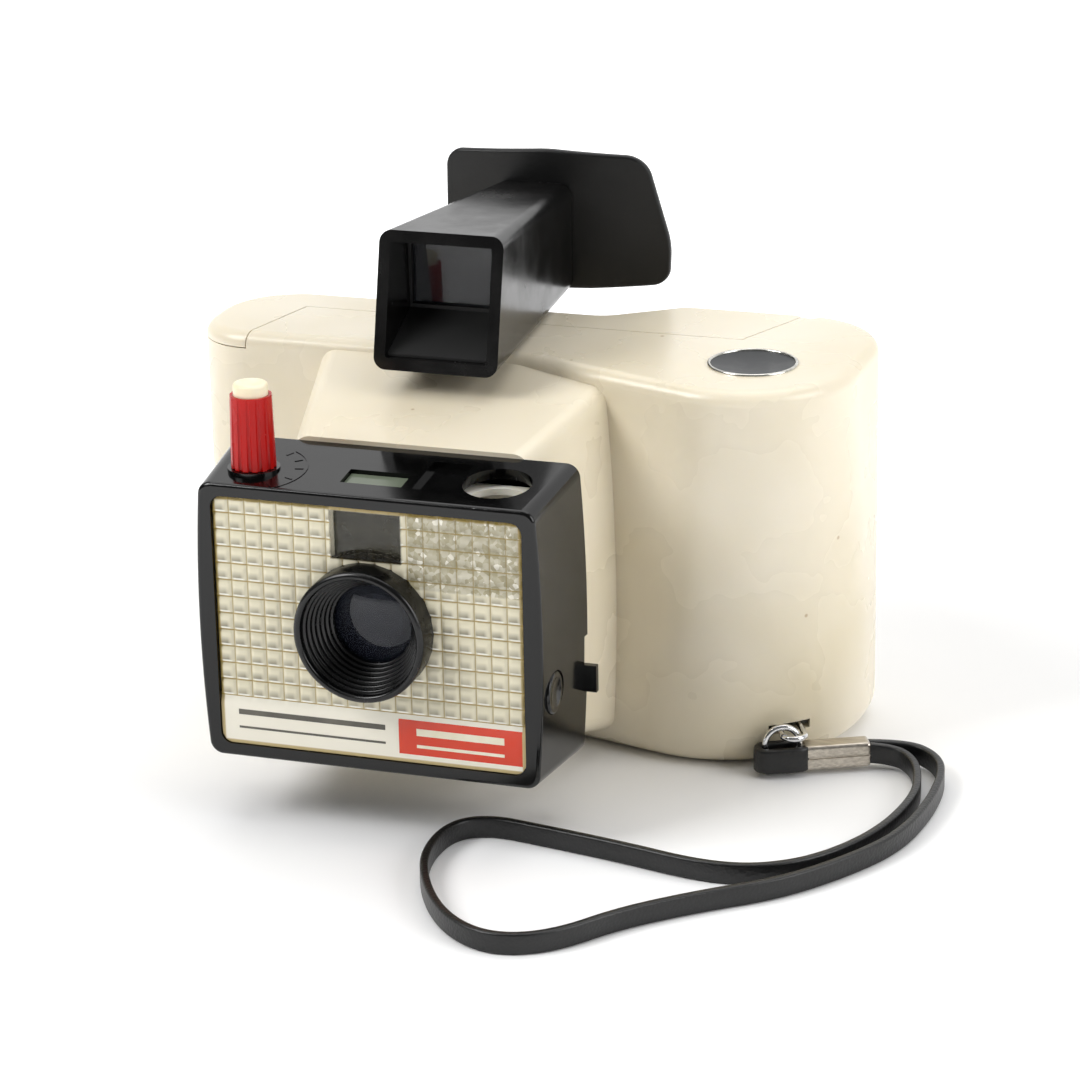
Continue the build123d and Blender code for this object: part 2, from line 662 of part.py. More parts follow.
def shutter_housing():
    """Glossy black box that carries the panel, lens, knob and flash."""
    shape = housing_solid((0, HOUSE_DEPTH), 0)
    shape = fillet(shape.edges().group_by(Axis.Y)[0], HOUSE_EDGE)
    shape -= housing_solid((HOUSE_INNER, HOUSE_DEPTH + 1), WALL)
    shape -= slab(rounded(PANEL_X, PANEL_Z, PANEL_CORNER), (-1, CARD_BACK))
    shape -= along_y(0, (CARD_BACK - 1, LENS_Y + LENS_THICK), LENS_Z, LENS_RADIUS + FIT)
    shape -= along_y(0, (CARD_BACK, HOUSE_INNER + 1), LENS_Z, APERTURE)
    through = (CARD_BACK - 1, HOUSE_INNER + 1)
    for x, z in ((METER_X, METER_Z), (FLASH_X, FLASH_Z)):
        shape -= block(grown(x, -WINDOW_LEDGE), through, grown(z, -WINDOW_LEDGE))
    for x, z in PILLARS:
        shape += along_y(x, (HOUSE_INNER - 0.5, HOUSE_DEPTH), z, PILLAR_RADIUS)
        shape -= along_y(x, (HOUSE_DEPTH - 9, HOUSE_DEPTH + 1), z, SCREW_RADIUS)
    shape += upright(KNOB_X, KNOB_Y, (KNOB_Z[0] - 4, KNOB_Z[0] - 0.1), KNOB_BASE_RADIUS + 0.8)
    shape -= upright(KNOB_X, KNOB_Y, (HOUSE_FRONT_Z[1] - 10, KNOB_Z[0] + 1), DRIVE_RADIUS + RUN)
    shape -= upright(BULB_X, BULB_Y, (REFLECTOR_Z[1], HOUSE_REAR_Z[1] + 1), BULB_HOLE)
    shape -= top_layer(TOP_WINDOW_X, TOP_WINDOW_Y, 0, TOP_WINDOW_DEPTH[1])
    ledge_x = grown(TOP_WINDOW_X, -WINDOW_LEDGE)
    ledge_y = grown(TOP_WINDOW_Y, -WINDOW_LEDGE)
    shape -= block(ledge_x, ledge_y, (HOUSE_FRONT_Z[1] - 5, HOUSE_REAR_Z[1] + 1))
    shape -= top_layer(TOP_STEP_X, TOP_STEP_Y, 0, TOP_STEP_DEPTH)
    shape -= ejector_notch(HOUSE_REAR_HALF - 6, EJECT_TAB_Y[0] - FIT)
    pocket_x = (side_at_plug() - SIDE_PLUG_DEPTH, side_at_plug() + 5)
    return shape - along_x(pocket_x, SIDE_PLUG_Y, SIDE_PLUG_Z, SIDE_PLUG_RADIUS + FIT)


def ejector_notch(left_x, front_y):
    """The notch at the housing's rear edge that the ejector's tab slides in."""
    z = (EJECT_TAB_Z[0] - FIT, EJECT_TAB_Z[1] + EJECT_TRAVEL + FIT)
    return block((left_x, HOUSE_REAR_HALF + 6), (front_y, HOUSE_DEPTH + 1), z)


def side_at_plug():
    """How far out the housing's right side is at the round plug."""
    return mix(HOUSE_FRONT_HALF, HOUSE_REAR_HALF, SIDE_PLUG_Y / HOUSE_DEPTH) + HOUSE_BULGE * 0.7


def side_plug():
    """Round black plug, dished, in the housing's right side."""
    side = side_at_plug()
    plug = along_x((side - SIDE_PLUG_DEPTH, side + 0.5), SIDE_PLUG_Y, SIDE_PLUG_Z, SIDE_PLUG_RADIUS)
    plug = fillet(plug.edges().group_by(Axis.X)[-1], 0.5)
    dish = Pos(side + 12, SIDE_PLUG_Y, SIDE_PLUG_Z) * Sphere(12)
    return plug - dish


def housing_back():
    """Black cover over the back of the housing."""
    y = (HOUSE_DEPTH - BACK_THICK, HOUSE_DEPTH)
    cover = housing_solid(y, WALL + FIT)
    cover -= along_y(0, grown(y, 1), LENS_Z, CONE_FRONT[1] / 2)
    for x, z in PILLARS:
        cover -= along_y(x, grown(y, 1), z, PILLAR_RADIUS + FIT)
    return cover - ejector_notch(HOUSE_REAR_HALF - 9, y[0] - 1)


def housing_screw(x, z):
    """Screw from inside the snout into one of the housing's pillars."""
    seat = SNOUT_FRONT_Y + WALL
    shank = along_y(x, (HOUSE_DEPTH - 8, seat), z, SCREW_RADIUS)
    return shank + along_y(x, (seat, seat + SCREW_HEAD_TALL), z, SCREW_HEAD)


def grid_panel():
    """Clear moulded panel over the whole face."""
    y = (PANEL_SET_BACK, PANEL_BACK)
    panel = slab(rounded(grown(PANEL_X, -FIT), grown(PANEL_Z, -FIT), PANEL_CORNER - FIT), y)
    return panel - along_y(0, grown(y, 1), LENS_Z, HOOD_RADIUS + FIT)


def backing(z):
    """The layer behind the panel, between two heights."""
    y = (PANEL_BACK, CARD_BACK)
    layer = slab(rounded(grown(PANEL_X, -FIT), grown(PANEL_Z, -FIT), PANEL_CORNER - FIT), y)
    return layer & block(grown(PANEL_X, 1), y, z)


def backing_card():
    """Pale card behind the grid, cut out for the lens, meter and flash."""
    card = backing((STRIP_TOP_Z + FIT, PANEL_Z[1] + 1))
    y = (PANEL_BACK - 1, CARD_BACK + 1)
    card -= along_y(0, y, LENS_Z, HOOD_FLANGE + FIT)
    card -= block(METER_X, y, METER_Z)
    return card - block(FLASH_X, y, FLASH_Z)


def name_strip():
    """Cream strip along the bottom of the face."""
    strip = backing((PANEL_Z[0] - 1, STRIP_TOP_Z))
    return strip - block(BADGE_X, (PANEL_BACK - 1, PANEL_BACK + BADGE_THICK), BADGE_Z)


def name_badge():
    """Orange-red label let into the strip."""
    return block(grown(BADGE_X, -0.05), (PANEL_BACK, PANEL_BACK + BADGE_THICK), grown(BADGE_Z, -0.05))


def meter_window():
    """Dark window of the light meter."""
    pane = block(grown(METER_X, -FIT), (PANEL_BACK, CARD_BACK), grown(METER_Z, -FIT))
    return pane - along_y(0, (PANEL_BACK - 1, CARD_BACK + 1), LENS_Z, HOOD_FLANGE + FIT)


def meter_mask():
    """Pierced plate behind the meter window."""
    y = (HOUSE_INNER, HOUSE_INNER + 0.6)
    mask = block(grown(METER_X, -0.4), y, grown(METER_Z, -0.4))
    for x in (-4.0, 0.0, 4.0):
        for z in (-4.0, 0.0, 4.0):
            mask -= along_y(x, grown(y, 1), sum(METER_Z) / 2 + z, 1.1)
    return mask


def meter_lamp():
    """Small glass lamp of the light meter."""
    bulb = upright(3.0, 10.4, (62.0, 67.0), 1.7) + Pos(3.0, 10.4, 67.0) * Sphere(1.7)
    return bulb + upright(3.0, 10.4, (58.6, 62.0), 1.2)


def top_window():
    """Clear pane in the housing's top that lets light to the meter."""
    return top_layer(grown(TOP_WINDOW_X, -FIT), grown(TOP_WINDOW_Y, -FIT), *TOP_WINDOW_DEPTH)


# ---------------------------------------------------------------- flash
def flash_reflector():
    """Pale open box behind the flash window, with the bulb's hole in its top."""
    y = (HOUSE_INNER, REFLECTOR_REAR)
    box = block(REFLECTOR_X, y, REFLECTOR_Z)
    hollow = block(grown(REFLECTOR_X, -1.4), (y[0] - 1, y[1] - 1.4), grown(REFLECTOR_Z, -1.4))
    box -= hollow
    box -= upright(BULB_X, BULB_Y, (REFLECTOR_Z[1] - 3, REFLECTOR_Z[1] + 1), BULB_HOLE - 1.2)
    return box - upright(BULB_X, BULB_Y, (REFLECTOR_Z[0] - 1, REFLECTOR_Z[0] + 3), SOCKET_HOLE)


def bulb_socket():
    """Socket that the flashbulb's base pushes into."""
    socket = upright(BULB_X, BULB_Y, SOCKET_Z, SOCKET_RADIUS)
    socket -= upright(BULB_X, BULB_Y, (SOCKET_Z[0] + 1.6, SOCKET_Z[1] + 1), SOCKET_HOLE)
    return socket - upright(BULB_X, BULB_Y, (SOCKET_Z[0] - 1, SOCKET_Z[1]), EJECT_PIN + RUN)


def bulb_ejector():
    """Black slider: a tab outside, an arm, and a pin that pushes the spent bulb out."""
    tab_from = HOUSE_REAR_HALF - 6
    tab = block((tab_from, EJECT_TAB_X), EJECT_TAB_Y, EJECT_TAB_Z)
    side = block((tab_from - 2.5, tab_from + 1), (BULB_Y - 1.5, EJECT_TAB_Y[1]), EJECT_TAB_Z)
    arm = block((BULB_X - 1.5, tab_from), (BULB_Y - 1.5, BULB_Y + 1.5), EJECT_TAB_Z)
    pin = upright(BULB_X, BULB_Y, (EJECT_TAB_Z[0], SOCKET_Z[0] + 1.4), EJECT_PIN)
    return tab + side + arm + pin


# ---------------------------------------------------------------- lens and shutter
def lens_hood():
    """Black lens barrel with a stepped mouth and a flange that the panel holds down."""
    hood = along_y(0, (HOOD_FRONT, CARD_BACK), LENS_Z, HOOD_RADIUS)
    hood = fillet(hood.edges().group_by(Axis.Y)[0], 0.5)
    hood += along_y(0, (PANEL_BACK, CARD_BACK), LENS_Z, HOOD_FLANGE)
    deep = (LENS_Y - HOOD_FRONT) / HOOD_STEPS
    for step in range(HOOD_STEPS):
        radius = mix(HOOD_MOUTH, HOOD_THROAT, step / (HOOD_STEPS - 1))
        start = HOOD_FRONT + step * deep
        hood -= along_y(0, (start - 0.01, start + deep + 0.01), LENS_Z, radius)
    return hood - along_y(0, (LENS_Y, CARD_BACK + 1), LENS_Z, LENS_RADIUS + FIT)


def lens():
    """Single glass lens with a domed face."""
    disc = along_y(0, (LENS_Y, LENS_Y + LENS_THICK), LENS_Z, LENS_RADIUS)
    return disc & Pos(0, LENS_Y + LENS_CURVE, LENS_Z) * Sphere(LENS_CURVE)


def shutter_board():
    """Plate that carries the blade's pivot, the slide's guides and the spring's shelf."""
    board = block(BOARD_X, BOARD_Y, BOARD_Z)
    board -= along_y(0, grown(BOARD_Y, 1), LENS_Z, APERTURE + 1)
    for x, z in PILLARS:
        board -= along_y(x, grown(BOARD_Y, 1), z, PILLAR_RADIUS + FIT)
    x, z = BLADE_PIVOT
    board += along_y(x, (BLADE_Y[0] - 0.6, BOARD_Y[0]), z, 1.2)
    guide_y = (SLIDE_Y[0] - 0.2, BOARD_Y[0])
    for low in (SLIDE_Z[0] - GUIDE_TALL, SLIDE_Z[1] + RUN):
        board += block((BOARD_X[0] + 10, BOARD_X[1]), guide_y, (low, low + GUIDE_TALL - RUN))
    shelf_z = (ROD_FOOT_Z - 10, ROD_FOOT_Z - 8)
    return board + block((KNOB_X - 3, KNOB_X + 3), (KNOB_Y - 2.2, BOARD_Y[0]), shelf_z)


def shutter_blade():
    """Thin blade that covers the lens and swings up when the plunger goes down."""
    x, z = BLADE_PIVOT
    reach = ((0 - x) ** 2 + (LENS_Z - z) ** 2) ** 0.5
    turn = Vector(-x, LENS_Z - z).get_angle(Vector(1, 0))
    arm = Pos(x, z) * Rot(0, 0, turn) * Pos(reach / 2, 0) * Rectangle(reach, 5)
    outline = arm + Pos(0, LENS_Z) * Circle(BLADE_RADIUS) + Pos(x, z) * Circle(3.2)
    return slab(outline, BLADE_Y) - along_y(x, grown(BLADE_Y, 1), z, BLADE_PIN + RUN)


def aperture_slide():
    """Sliding plate with a tapering window, moved sideways by the knob's shaft."""
    plate = block(SLIDE_X, SLIDE_Y, SLIDE_Z)
    small = Pos(-SLIDE_TRAVEL, LENS_Z) * Circle(2.2)
    wide = Pos(0, LENS_Z) * Circle(4.6)
    middle = Pos(-SLIDE_TRAVEL / 2, LENS_Z) * Rectangle(SLIDE_TRAVEL, 4)
    return plate - slab(small + wide + middle, grown(SLIDE_Y, 1))


def exposure_knob():
    """Red fluted knob on a long shaft, hollow for the plunger."""
    low, high = KNOB_Z
    knob = Pos(KNOB_X, KNOB_Y, (low + high) / 2) * Cone(KNOB_BASE_RADIUS, KNOB_TOP_RADIUS, high - low)
    for rib in range(KNOB_RIBS):
        turn = 360 * rib / KNOB_RIBS
        flute = Pos(KNOB_BASE_RADIUS + 0.08, 0, 0) * Cylinder(KNOB_FLUTE, high - low + 2)
        knob -= Pos(KNOB_X, KNOB_Y, (low + high) / 2) * Rot(0, 0, turn) * flute
    knob += upright(KNOB_X, KNOB_Y, (KNOB_FOOT_Z, low + 1), DRIVE_RADIUS)
    mouth = (high - CAP_SUNK - RELEASE_TRAVEL - 0.2, high + 1)
    knob -= upright(KNOB_X, KNOB_Y, mouth, CAP_RADIUS + RUN)
    return knob - upright(KNOB_X, KNOB_Y, (KNOB_FOOT_Z - 1, high), ROD_RADIUS + RUN)


def release_button():
    """Cream cap on a long rod that trips the shutter."""
    cap = upright(KNOB_X, KNOB_Y, (KNOB_Z[1] - CAP_SUNK, CAP_TOP_Z), CAP_RADIUS)
    cap = fillet(cap.edges().group_by(Axis.Z)[-1], 0.6)
    cap -= Pos(KNOB_X, KNOB_Y, CAP_TOP_Z - 0.5 + 9) * Sphere(9)
    return cap + upright(KNOB_X, KNOB_Y, (ROD_FOOT_Z, KNOB_Z[1] - CAP_SUNK + 0.5), ROD_RADIUS)


def button_spring():
    """Coil spring under the plunger's rod."""
    low = ROD_FOOT_Z - 8 + SPRING_WIRE
    high = ROD_FOOT_Z - SPRING_WIRE
    coil = Helix(pitch=(high - low) / SPRING_TURNS, height=high - low, radius=SPRING_RADIUS)
    start = Plane(origin=coil @ 0, z_dir=coil % 0)
    wire = sweep(start * Circle(SPRING_WIRE), path=coil)
    return Pos(KNOB_X, KNOB_Y, low) * wire


# ---------------------------------------------------------------- viewfinder
def finder_plane():
    """The leaning plane of the viewfinder's front frame."""
    lean = radians(FINDER_LEAN)
    middle = FINDER_BASE_Z + FINDER_FRONT[1] * cos(lean) / 2
    return Plane(origin=(0, FINDER_FRONT_Y, middle), x_dir=(1, 0, 0), z_dir=(0, -cos(lean), sin(lean)))


def finder_form(front_inset, rear_inset):
    """The tapering form of the viewfinder, taken in at each end."""
    front = RectangleRounded(
        FINDER_FRONT[0] - 2 * front_inset,
        FINDER_FRONT[1] - 2 * front_inset,
        max(FINDER_CORNER - front_inset, 0.6),
    )
    rear = RectangleRounded(
        FINDER_REAR[0] - 2 * rear_inset,
        FINDER_REAR[1] - 2 * rear_inset,
        max(FINDER_CORNER - rear_inset, 0.6),
    )
    rear_plane = facing(0, FINDER_REAR_Y, FINDER_BASE_Z + FINDER_REAR[1] / 2)
    return loft([finder_plane() * front, rear_plane * rear])


def finder_bore(inset=0.0):
    """The inside of the viewfinder tunnel."""
    return finder_form(FINDER_FRAME + inset, FINDER_WALL + inset)


def finder_tunnel():
    """Black tapered tunnel on a foot that is screwed to the body's top."""
    tunnel = finder_form(0, 0) - finder_bore()
    foot = block((-FOOT_HALF, FOOT_HALF), FOOT_Y, (BODY_TOP, FINDER_BASE_Z + FINDER_WALL / 2))
    tunnel += foot
    for y in FINDER_SCREW_Y:
        tunnel -= upright(0, y, (BODY_TOP - 1, FINDER_BASE_Z + 1.2), SCREW_RADIUS)
    return tunnel


def finder_floor():
    """Sloping floor from the lower lip up to the mask."""
    lip = FINDER_FRONT_Y - FINDER_FRONT[1] * sin(radians(FINDER_LEAN)) / 2 + 2
    low = FINDER_BASE_Z + FINDER_FRAME - 1
    profile = Polyline(
        (lip, low - 2), (lip, low + 1.6), (MASK_Y[0], MASK_WINDOW_Z[0] - 0.8), (MASK_Y[0], low - 2), close=True
    )
    wedge = extrude(Plane.YZ * make_face(profile), FINDER_FRONT[0], both=True)
    return wedge & finder_bore(0.05)


def finder_mask():
    """Upright frame round the front lens."""
    mask = block((-LARGE, LARGE), MASK_Y, (0, LARGE)) & finder_bore(0.05)
    return mask - block(MASK_WINDOW_X, grown(MASK_Y, 1), MASK_WINDOW_Z)


def finder_lens(y, z):
    """A rectangular lens that fills the tunnel's bore between two distances."""
    return block((-LARGE, LARGE), y, z) & finder_bore(0.05)


def finder_screw(y):
    """Screw from inside the body up into the viewfinder's foot."""
    seat = BODY_TOP - WALL
    shank = upright(0, y, (seat, FINDER_BASE_Z + 1.2), SCREW_RADIUS)
    return shank + upright(0, y, (seat - SCREW_HEAD_TALL, seat), SCREW_HEAD)


def shield_outline():
    """The eye shield seen from the front: wider towards the right, with round corners."""
    points = [
        (-22.6, 6.4), (-22.3, 31.2), (3.0, 33.0), (25.6, 31.6), (31.0, 11.0),
        (30.6, 1.4), (13.0, 0.3), (-9.4, -0.1),
    ]
    radii = [7.0, 4.5, 40.0, 6.5, 20.0, 4.0, 8.0, 20.0]
    return Pos(0, FINDER_BASE_Z) * make_face(FilletPolyline(*points, radius=radii, close=True))


def eye_shield():
    """Black rubber shield, curved back at its sides, with a collar in the tunnel's end."""
    blank = slab(shield_outline(), (FINDER_REAR_Y - 5, FINDER_REAR_Y + 20))
    axis_y = FINDER_REAR_Y + SHIELD_CURVE
    tall = (FINDER_BASE_Z - 10, FINDER_BASE_Z + 40)
    bent = upright(0, axis_y, tall, SHIELD_CURVE)
    bent -= upright(0, axis_y, grown(tall, 10), SHIELD_CURVE - SHIELD_THICK)
    shield = blank & bent
    broad = sorted(shield.faces(), key=lambda face: face.area)[-2:]
    shield = fillet([edge for face in broad for edge in face.edges()], SHIELD_EDGE)
    collar = finder_bore(FIT) & block((-LARGE, LARGE), (COLLAR_Y, FINDER_REAR_Y), (0, LARGE))
    neck_w = FINDER_REAR[0] - 2 * (FINDER_WALL + FIT)
    neck_h = FINDER_REAR[1] - 2 * (FINDER_WALL + FIT)
    eye = Pos(0, FINDER_BASE_Z + FINDER_REAR[1] / 2)
    neck = eye * Rectangle(neck_w, neck_h)
    hole = eye * Rectangle(neck_w - 2 * COLLAR_WALL, neck_h - 2 * COLLAR_WALL)
    shield += collar + slab(neck, (FINDER_REAR_Y, FINDER_REAR_Y + 1.4))
    return shield - slab(hole, (COLLAR_Y - 5, FINDER_REAR_Y + 10))


# ---------------------------------------------------------------- wrist strap
def strap_staple():
    """Steel staple through the slot in the grip."""
    legs = None
    for side in (-1, 1):
        leg = Pos(side * STAPLE_HALF, STAPLE_LONG / 2, 0) * Rot(90, 0, 0) * Cylinder(RING_WIRE, STAPLE_LONG)
        legs = leg if legs is None else legs + leg
    bend = Torus(STAPLE_HALF, RING_WIRE) & Pos(0, -LARGE / 2, 0) * Box(LARGE, LARGE, LARGE)
    return at_ferrule(EYE_AT + STAPLE_HALF, 0, STAPLE_Z) * (legs + bend)


def strap_ring():
    """Wire ring that hangs in the staple and holds the strap's eye."""
    return at_ferrule(EYE_AT, 0, RING_Z) * Rot(90, 0, 0) * Torus(RING_RADIUS, RING_WIRE)


def strap_pin():
    """Short pin across the strap's eye, inside the ring."""
    long = EYE_DEEP - EYE_BAND
    z = RING_FOOT + 2 * RING_WIRE + 0.62
    return at_ferrule(EYE_AT, 0, z) * Rot(90, 0, 0) * Cylinder(0.6, long)


def strap_ferrule():
    """Nickel sleeve crimped over both ends of the strap."""
    tall = FERRULE_Z[1] - FERRULE_Z[0]
    sleeve = Box(FERRULE_LONG, FERRULE_DEEP, tall)
    sleeve = fillet(sleeve.edges().filter_by(Axis.X), 0.7)
    return at_ferrule(0, 0, (FERRULE_Z[0] + FERRULE_Z[1]) / 2) * sleeve


def strap_eye():
    """Small loop of the strap between the ring and the ferrule."""
    low = (FERRULE_Z[0] + FERRULE_Z[1] - STRAP_WIDE) / 2
    outer = SlotCenterToCenter(EYE_LONG, EYE_DEEP)
    inner = SlotCenterToCenter(EYE_LONG, EYE_DEEP - 2 * EYE_BAND)
    loop = at_ferrule(EYE_AT, 0, low) * extrude(outer - inner, STRAP_WIDE)
    return loop - strap_ferrule() - strap_pin()


def route_radii(points):
    """The bend radius at each corner: as large as the runs beside it allow."""
    radii = []
    for before, here, after in zip(points, points[1:], points[2:]):
        run_in = Vector(*here) - Vector(*before)
        run_out = Vector(*after) - Vector(*here)
        half_turn = radians(run_in.get_angle(run_out)) / 2
        radii.append(CORNER_SHARE * min(run_in.length, run_out.length) / tan(half_turn))
    return radii


def wrist_strap():
    """Black strap, closed into a wrist loop and standing on its edge."""
    radii = route_radii(STRAP_ROUTE)
    path = FilletPolyline(*STRAP_ROUTE, radius=radii)
    section = Plane(origin=path @ 0, x_dir=(0, 0, 1), z_dir=path % 0)
    strap = sweep(section * Rectangle(STRAP_WIDE, STRAP_THICK), path=path)
    share = strap.volume / (path.length * STRAP_WIDE * STRAP_THICK)
    print("strap length", round(path.length, 1), "volume share", round(share, 4))
    print("strap radii", [round(radius, 1) for radius in radii])
    return Pos(0, 0, STRAP_FLOOR + STRAP_WIDE / 2) * strap - strap_ferrule()


# ---------------------------------------------------------------- the camera
def camera_pieces():
    """Every piece of the camera by its name."""
    skin = body_skin()
    inner_top = BODY_TOP - WALL
    pieces = {
        "front_shell": front_shell(skin),
        "back_door": back_door(skin),
        "battery_door": skin & battery_opening(SEAM_GAP),
        "hinge_pin": hinge_pin(),
        "door_latch": door_latch(),
        "top_disc": top_disc(),
        "roll_pin_top": roll_pin((inner_top - ROLL_PIN_LONG, inner_top)),
        "roll_pin_base": roll_pin((WALL, WALL + ROLL_PIN_LONG)),
        "light_cone": light_cone(),
        "film_gate": film_gate(),
        "fixed_roller": roller(NIP_Y - ROLLER_OFFSET),
        "door_roller": roller(NIP_Y + ROLLER_OFFSET),
        "door_bracket": door_bracket(),
        "pressure_plate": pressure_plate(),
        "plate_spring": plate_spring(),
        "battery_tray": battery_tray(),
        "cell_front": cell(CELL_SPOTS[0]),
        "cell_rear": cell(CELL_SPOTS[1]),
        "contact_left": contact(-1),
        "contact_right": contact(1),
        "shutter_housing": shutter_housing(),
        "housing_back": housing_back(),
        "side_plug": side_plug(),
        "grid_panel": grid_panel(),
        "backing_card": backing_card(),
        "name_strip": name_strip(),
        "name_badge": name_badge(),
        "meter_window": meter_window(),
        "meter_mask": meter_mask(),
        "meter_lamp": meter_lamp(),
        "top_window": top_window(),
        "flash_reflector": flash_reflector(),
        "bulb_socket": bulb_socket(),
        "bulb_ejector": bulb_ejector(),
        "lens_hood": lens_hood(),
        "lens": lens(),
        "shutter_board": shutter_board(),
        "shutter_blade": shutter_blade(),
        "aperture_slide": aperture_slide(),
        "exposure_knob": exposure_knob(),
        "release_button": release_button(),
        "button_spring": button_spring(),
        "finder_tunnel": finder_tunnel(),
        "finder_floor": finder_floor(),
        "finder_mask": finder_mask(),
        "front_lens": finder_lens((MASK_Y[1], MASK_Y[1] + FRONT_LENS_THICK), grown(MASK_WINDOW_Z, 1)),
        "eye_lens": finder_lens(EYE_LENS_Y, (0, LARGE)),
        "eye_shield": eye_shield(),
        "strap_staple": strap_staple(),
        "strap_ring": strap_ring(),
        "strap_pin": strap_pin(),
        "strap_eye": strap_eye(),
        "strap_ferrule": strap_ferrule(),
        "wrist_strap": wrist_strap(),
    }
    for number, (x, z) in enumerate(PILLARS, 1):
        pieces[f"housing_screw_{number}"] = housing_screw(x, z)
    for number, y in enumerate(FINDER_SCREW_Y, 1):
        pieces[f"finder_screw_{number}"] = finder_screw(y)
    return pieces


STRAP_NODES = ("wrist_strap", "strap_eye", "strap_ferrule", "strap_pin")


def save_all(pieces):
    """Moves the pieces to the part's origin and writes one STEP file for each."""
    rigid = Compound([shape for name, shape in pieces.items() if name not in STRAP_NODES])
    box = rigid.bounding_box()
    shift = Pos(-box.center().X, -box.center().Y, -box.min.Z)
    os.makedirs("parts", exist_ok=True)
    for name, shape in pieces.items():
        export_step(shift * shape, f"parts/{name}.step")
    print("origin at", round(box.center().X, 4), round(box.center().Y, 4), round(box.min.Z, 4))


if __name__ == "__main__":
    save_all(camera_pieces())
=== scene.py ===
from math import cos, hypot, pi, radians, sin

import bmesh
import bpy
from mathutils import Matrix, Vector


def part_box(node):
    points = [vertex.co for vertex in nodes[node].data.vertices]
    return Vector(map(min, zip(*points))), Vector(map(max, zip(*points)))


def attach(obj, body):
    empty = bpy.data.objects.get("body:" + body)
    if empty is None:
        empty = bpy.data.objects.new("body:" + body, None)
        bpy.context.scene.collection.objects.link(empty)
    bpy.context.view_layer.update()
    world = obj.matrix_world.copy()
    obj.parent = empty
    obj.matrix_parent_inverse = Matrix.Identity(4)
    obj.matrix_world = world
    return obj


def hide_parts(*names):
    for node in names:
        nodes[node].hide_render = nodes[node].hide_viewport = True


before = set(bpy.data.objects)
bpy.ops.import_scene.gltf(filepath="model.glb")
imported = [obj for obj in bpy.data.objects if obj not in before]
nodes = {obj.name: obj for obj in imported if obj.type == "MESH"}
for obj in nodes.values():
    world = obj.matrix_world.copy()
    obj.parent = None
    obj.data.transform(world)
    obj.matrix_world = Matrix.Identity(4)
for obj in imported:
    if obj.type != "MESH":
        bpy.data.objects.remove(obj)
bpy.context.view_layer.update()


# ---- Bench origin
# The camera was measured on the bench from the lens axis, the face of the shutter
# housing and the surface that it stands on, and every size below counts from there.
MM = 0.001
hood_low, hood_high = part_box("lens_hood")
LENS_X = (hood_low.x + hood_high.x) / 2
LENS_Z = (hood_low.z + hood_high.z) / 2
FACE_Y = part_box("shutter_housing")[0].y


def bench(x, y, z):
    """A place in millimetres from the bench origin, in the frame's metres."""
    return Vector((LENS_X + x * MM, FACE_Y + y * MM, z * MM))


# ---- Studio camera
# A long lens stands to the right of the lens axis and looks down a little. It is held a
# degree off level.
AZIMUTH = 18.68
ELEVATION = 19.81
ROLL = -1.127
AIM_DISTANCE = 0.790
AIM_AT = (30.8, 22.6, 62.6)
SENSOR_WIDE = 36
FOCAL_LENGTH = 125.2
back = Vector((
    sin(radians(AZIMUTH)) * cos(radians(ELEVATION)),
    -cos(radians(AZIMUTH)) * cos(radians(ELEVATION)),
    sin(radians(ELEVATION)),
))
right = Vector((cos(radians(AZIMUTH)), sin(radians(AZIMUTH)), 0))
up = back.cross(right)
camera_data = bpy.data.cameras.new("studio_camera")
camera_data.sensor_width = SENSOR_WIDE
camera_data.lens = FOCAL_LENGTH
camera = bpy.data.objects.new("studio_camera", camera_data)
bpy.context.scene.collection.objects.link(camera)
camera_turn = Matrix((right, up, back)).transposed().to_4x4() @ Matrix.Rotation(radians(ROLL), 4, "Z")
camera.matrix_world = Matrix.Translation(bench(*AIM_AT) + back * AIM_DISTANCE) @ camera_turn
bpy.context.scene.camera = camera


# ---- Strap
# A flat black vinyl strap with a printed-in leather grain. It is folded into a wrist loop,
# stands on its edge, and both its ends are crimped in one ferrule.
STRAP_WIDE = 4.6
STRAP_THICK = 1.8
STRAP_CORNER = 0.55
STRAP_ROUTE = [
    (0.09236, 0.06463, 0.0040), (0.0976, 0.0666, 0.0034), (0.1026, 0.0629, 0.0027),
    (0.1054, 0.0555, 0.0025), (0.1073, 0.0442, 0.0024), (0.1043, 0.0245, 0.0024),
    (0.0956, 0.0079, 0.0024), (0.0849, -0.0003, 0.0024), (0.0725, -0.0018, 0.0024),
    (0.0540, 0.0028, 0.0024), (0.0350, 0.0063, 0.0024), (0.0232, 0.0082, 0.0024),
    (0.0160, 0.0030, 0.0024), (0.0154, -0.0115, 0.0024), (0.0204, -0.0253, 0.0024),
    (0.0284, -0.0378, 0.0024), (0.0373, -0.0448, 0.0024), (0.0459, -0.0456, 0.0024),
    (0.0546, -0.0403, 0.0024), (0.0633, -0.0278, 0.0024), (0.0765, -0.0157, 0.0024),
    (0.0905, -0.0052, 0.0024), (0.1015, 0.0096, 0.0024), (0.1087, 0.0241, 0.0024),
    (0.1110, 0.0425, 0.0024), (0.1102, 0.0591, 0.0025), (0.1064, 0.0670, 0.0027),
    (0.0996, 0.0699, 0.0034), (0.09153, 0.06634, 0.0040),
]


def linear(hex_colour):
    """An sRGB hex colour as the linear values that shaders take."""
    values = [int(hex_colour[i:i + 2], 16) / 255 for i in (1, 3, 5)]
    return [v / 12.92 if v <= 0.04045 else ((v + 0.055) / 1.055) ** 2.4 for v in values] + [1.0]


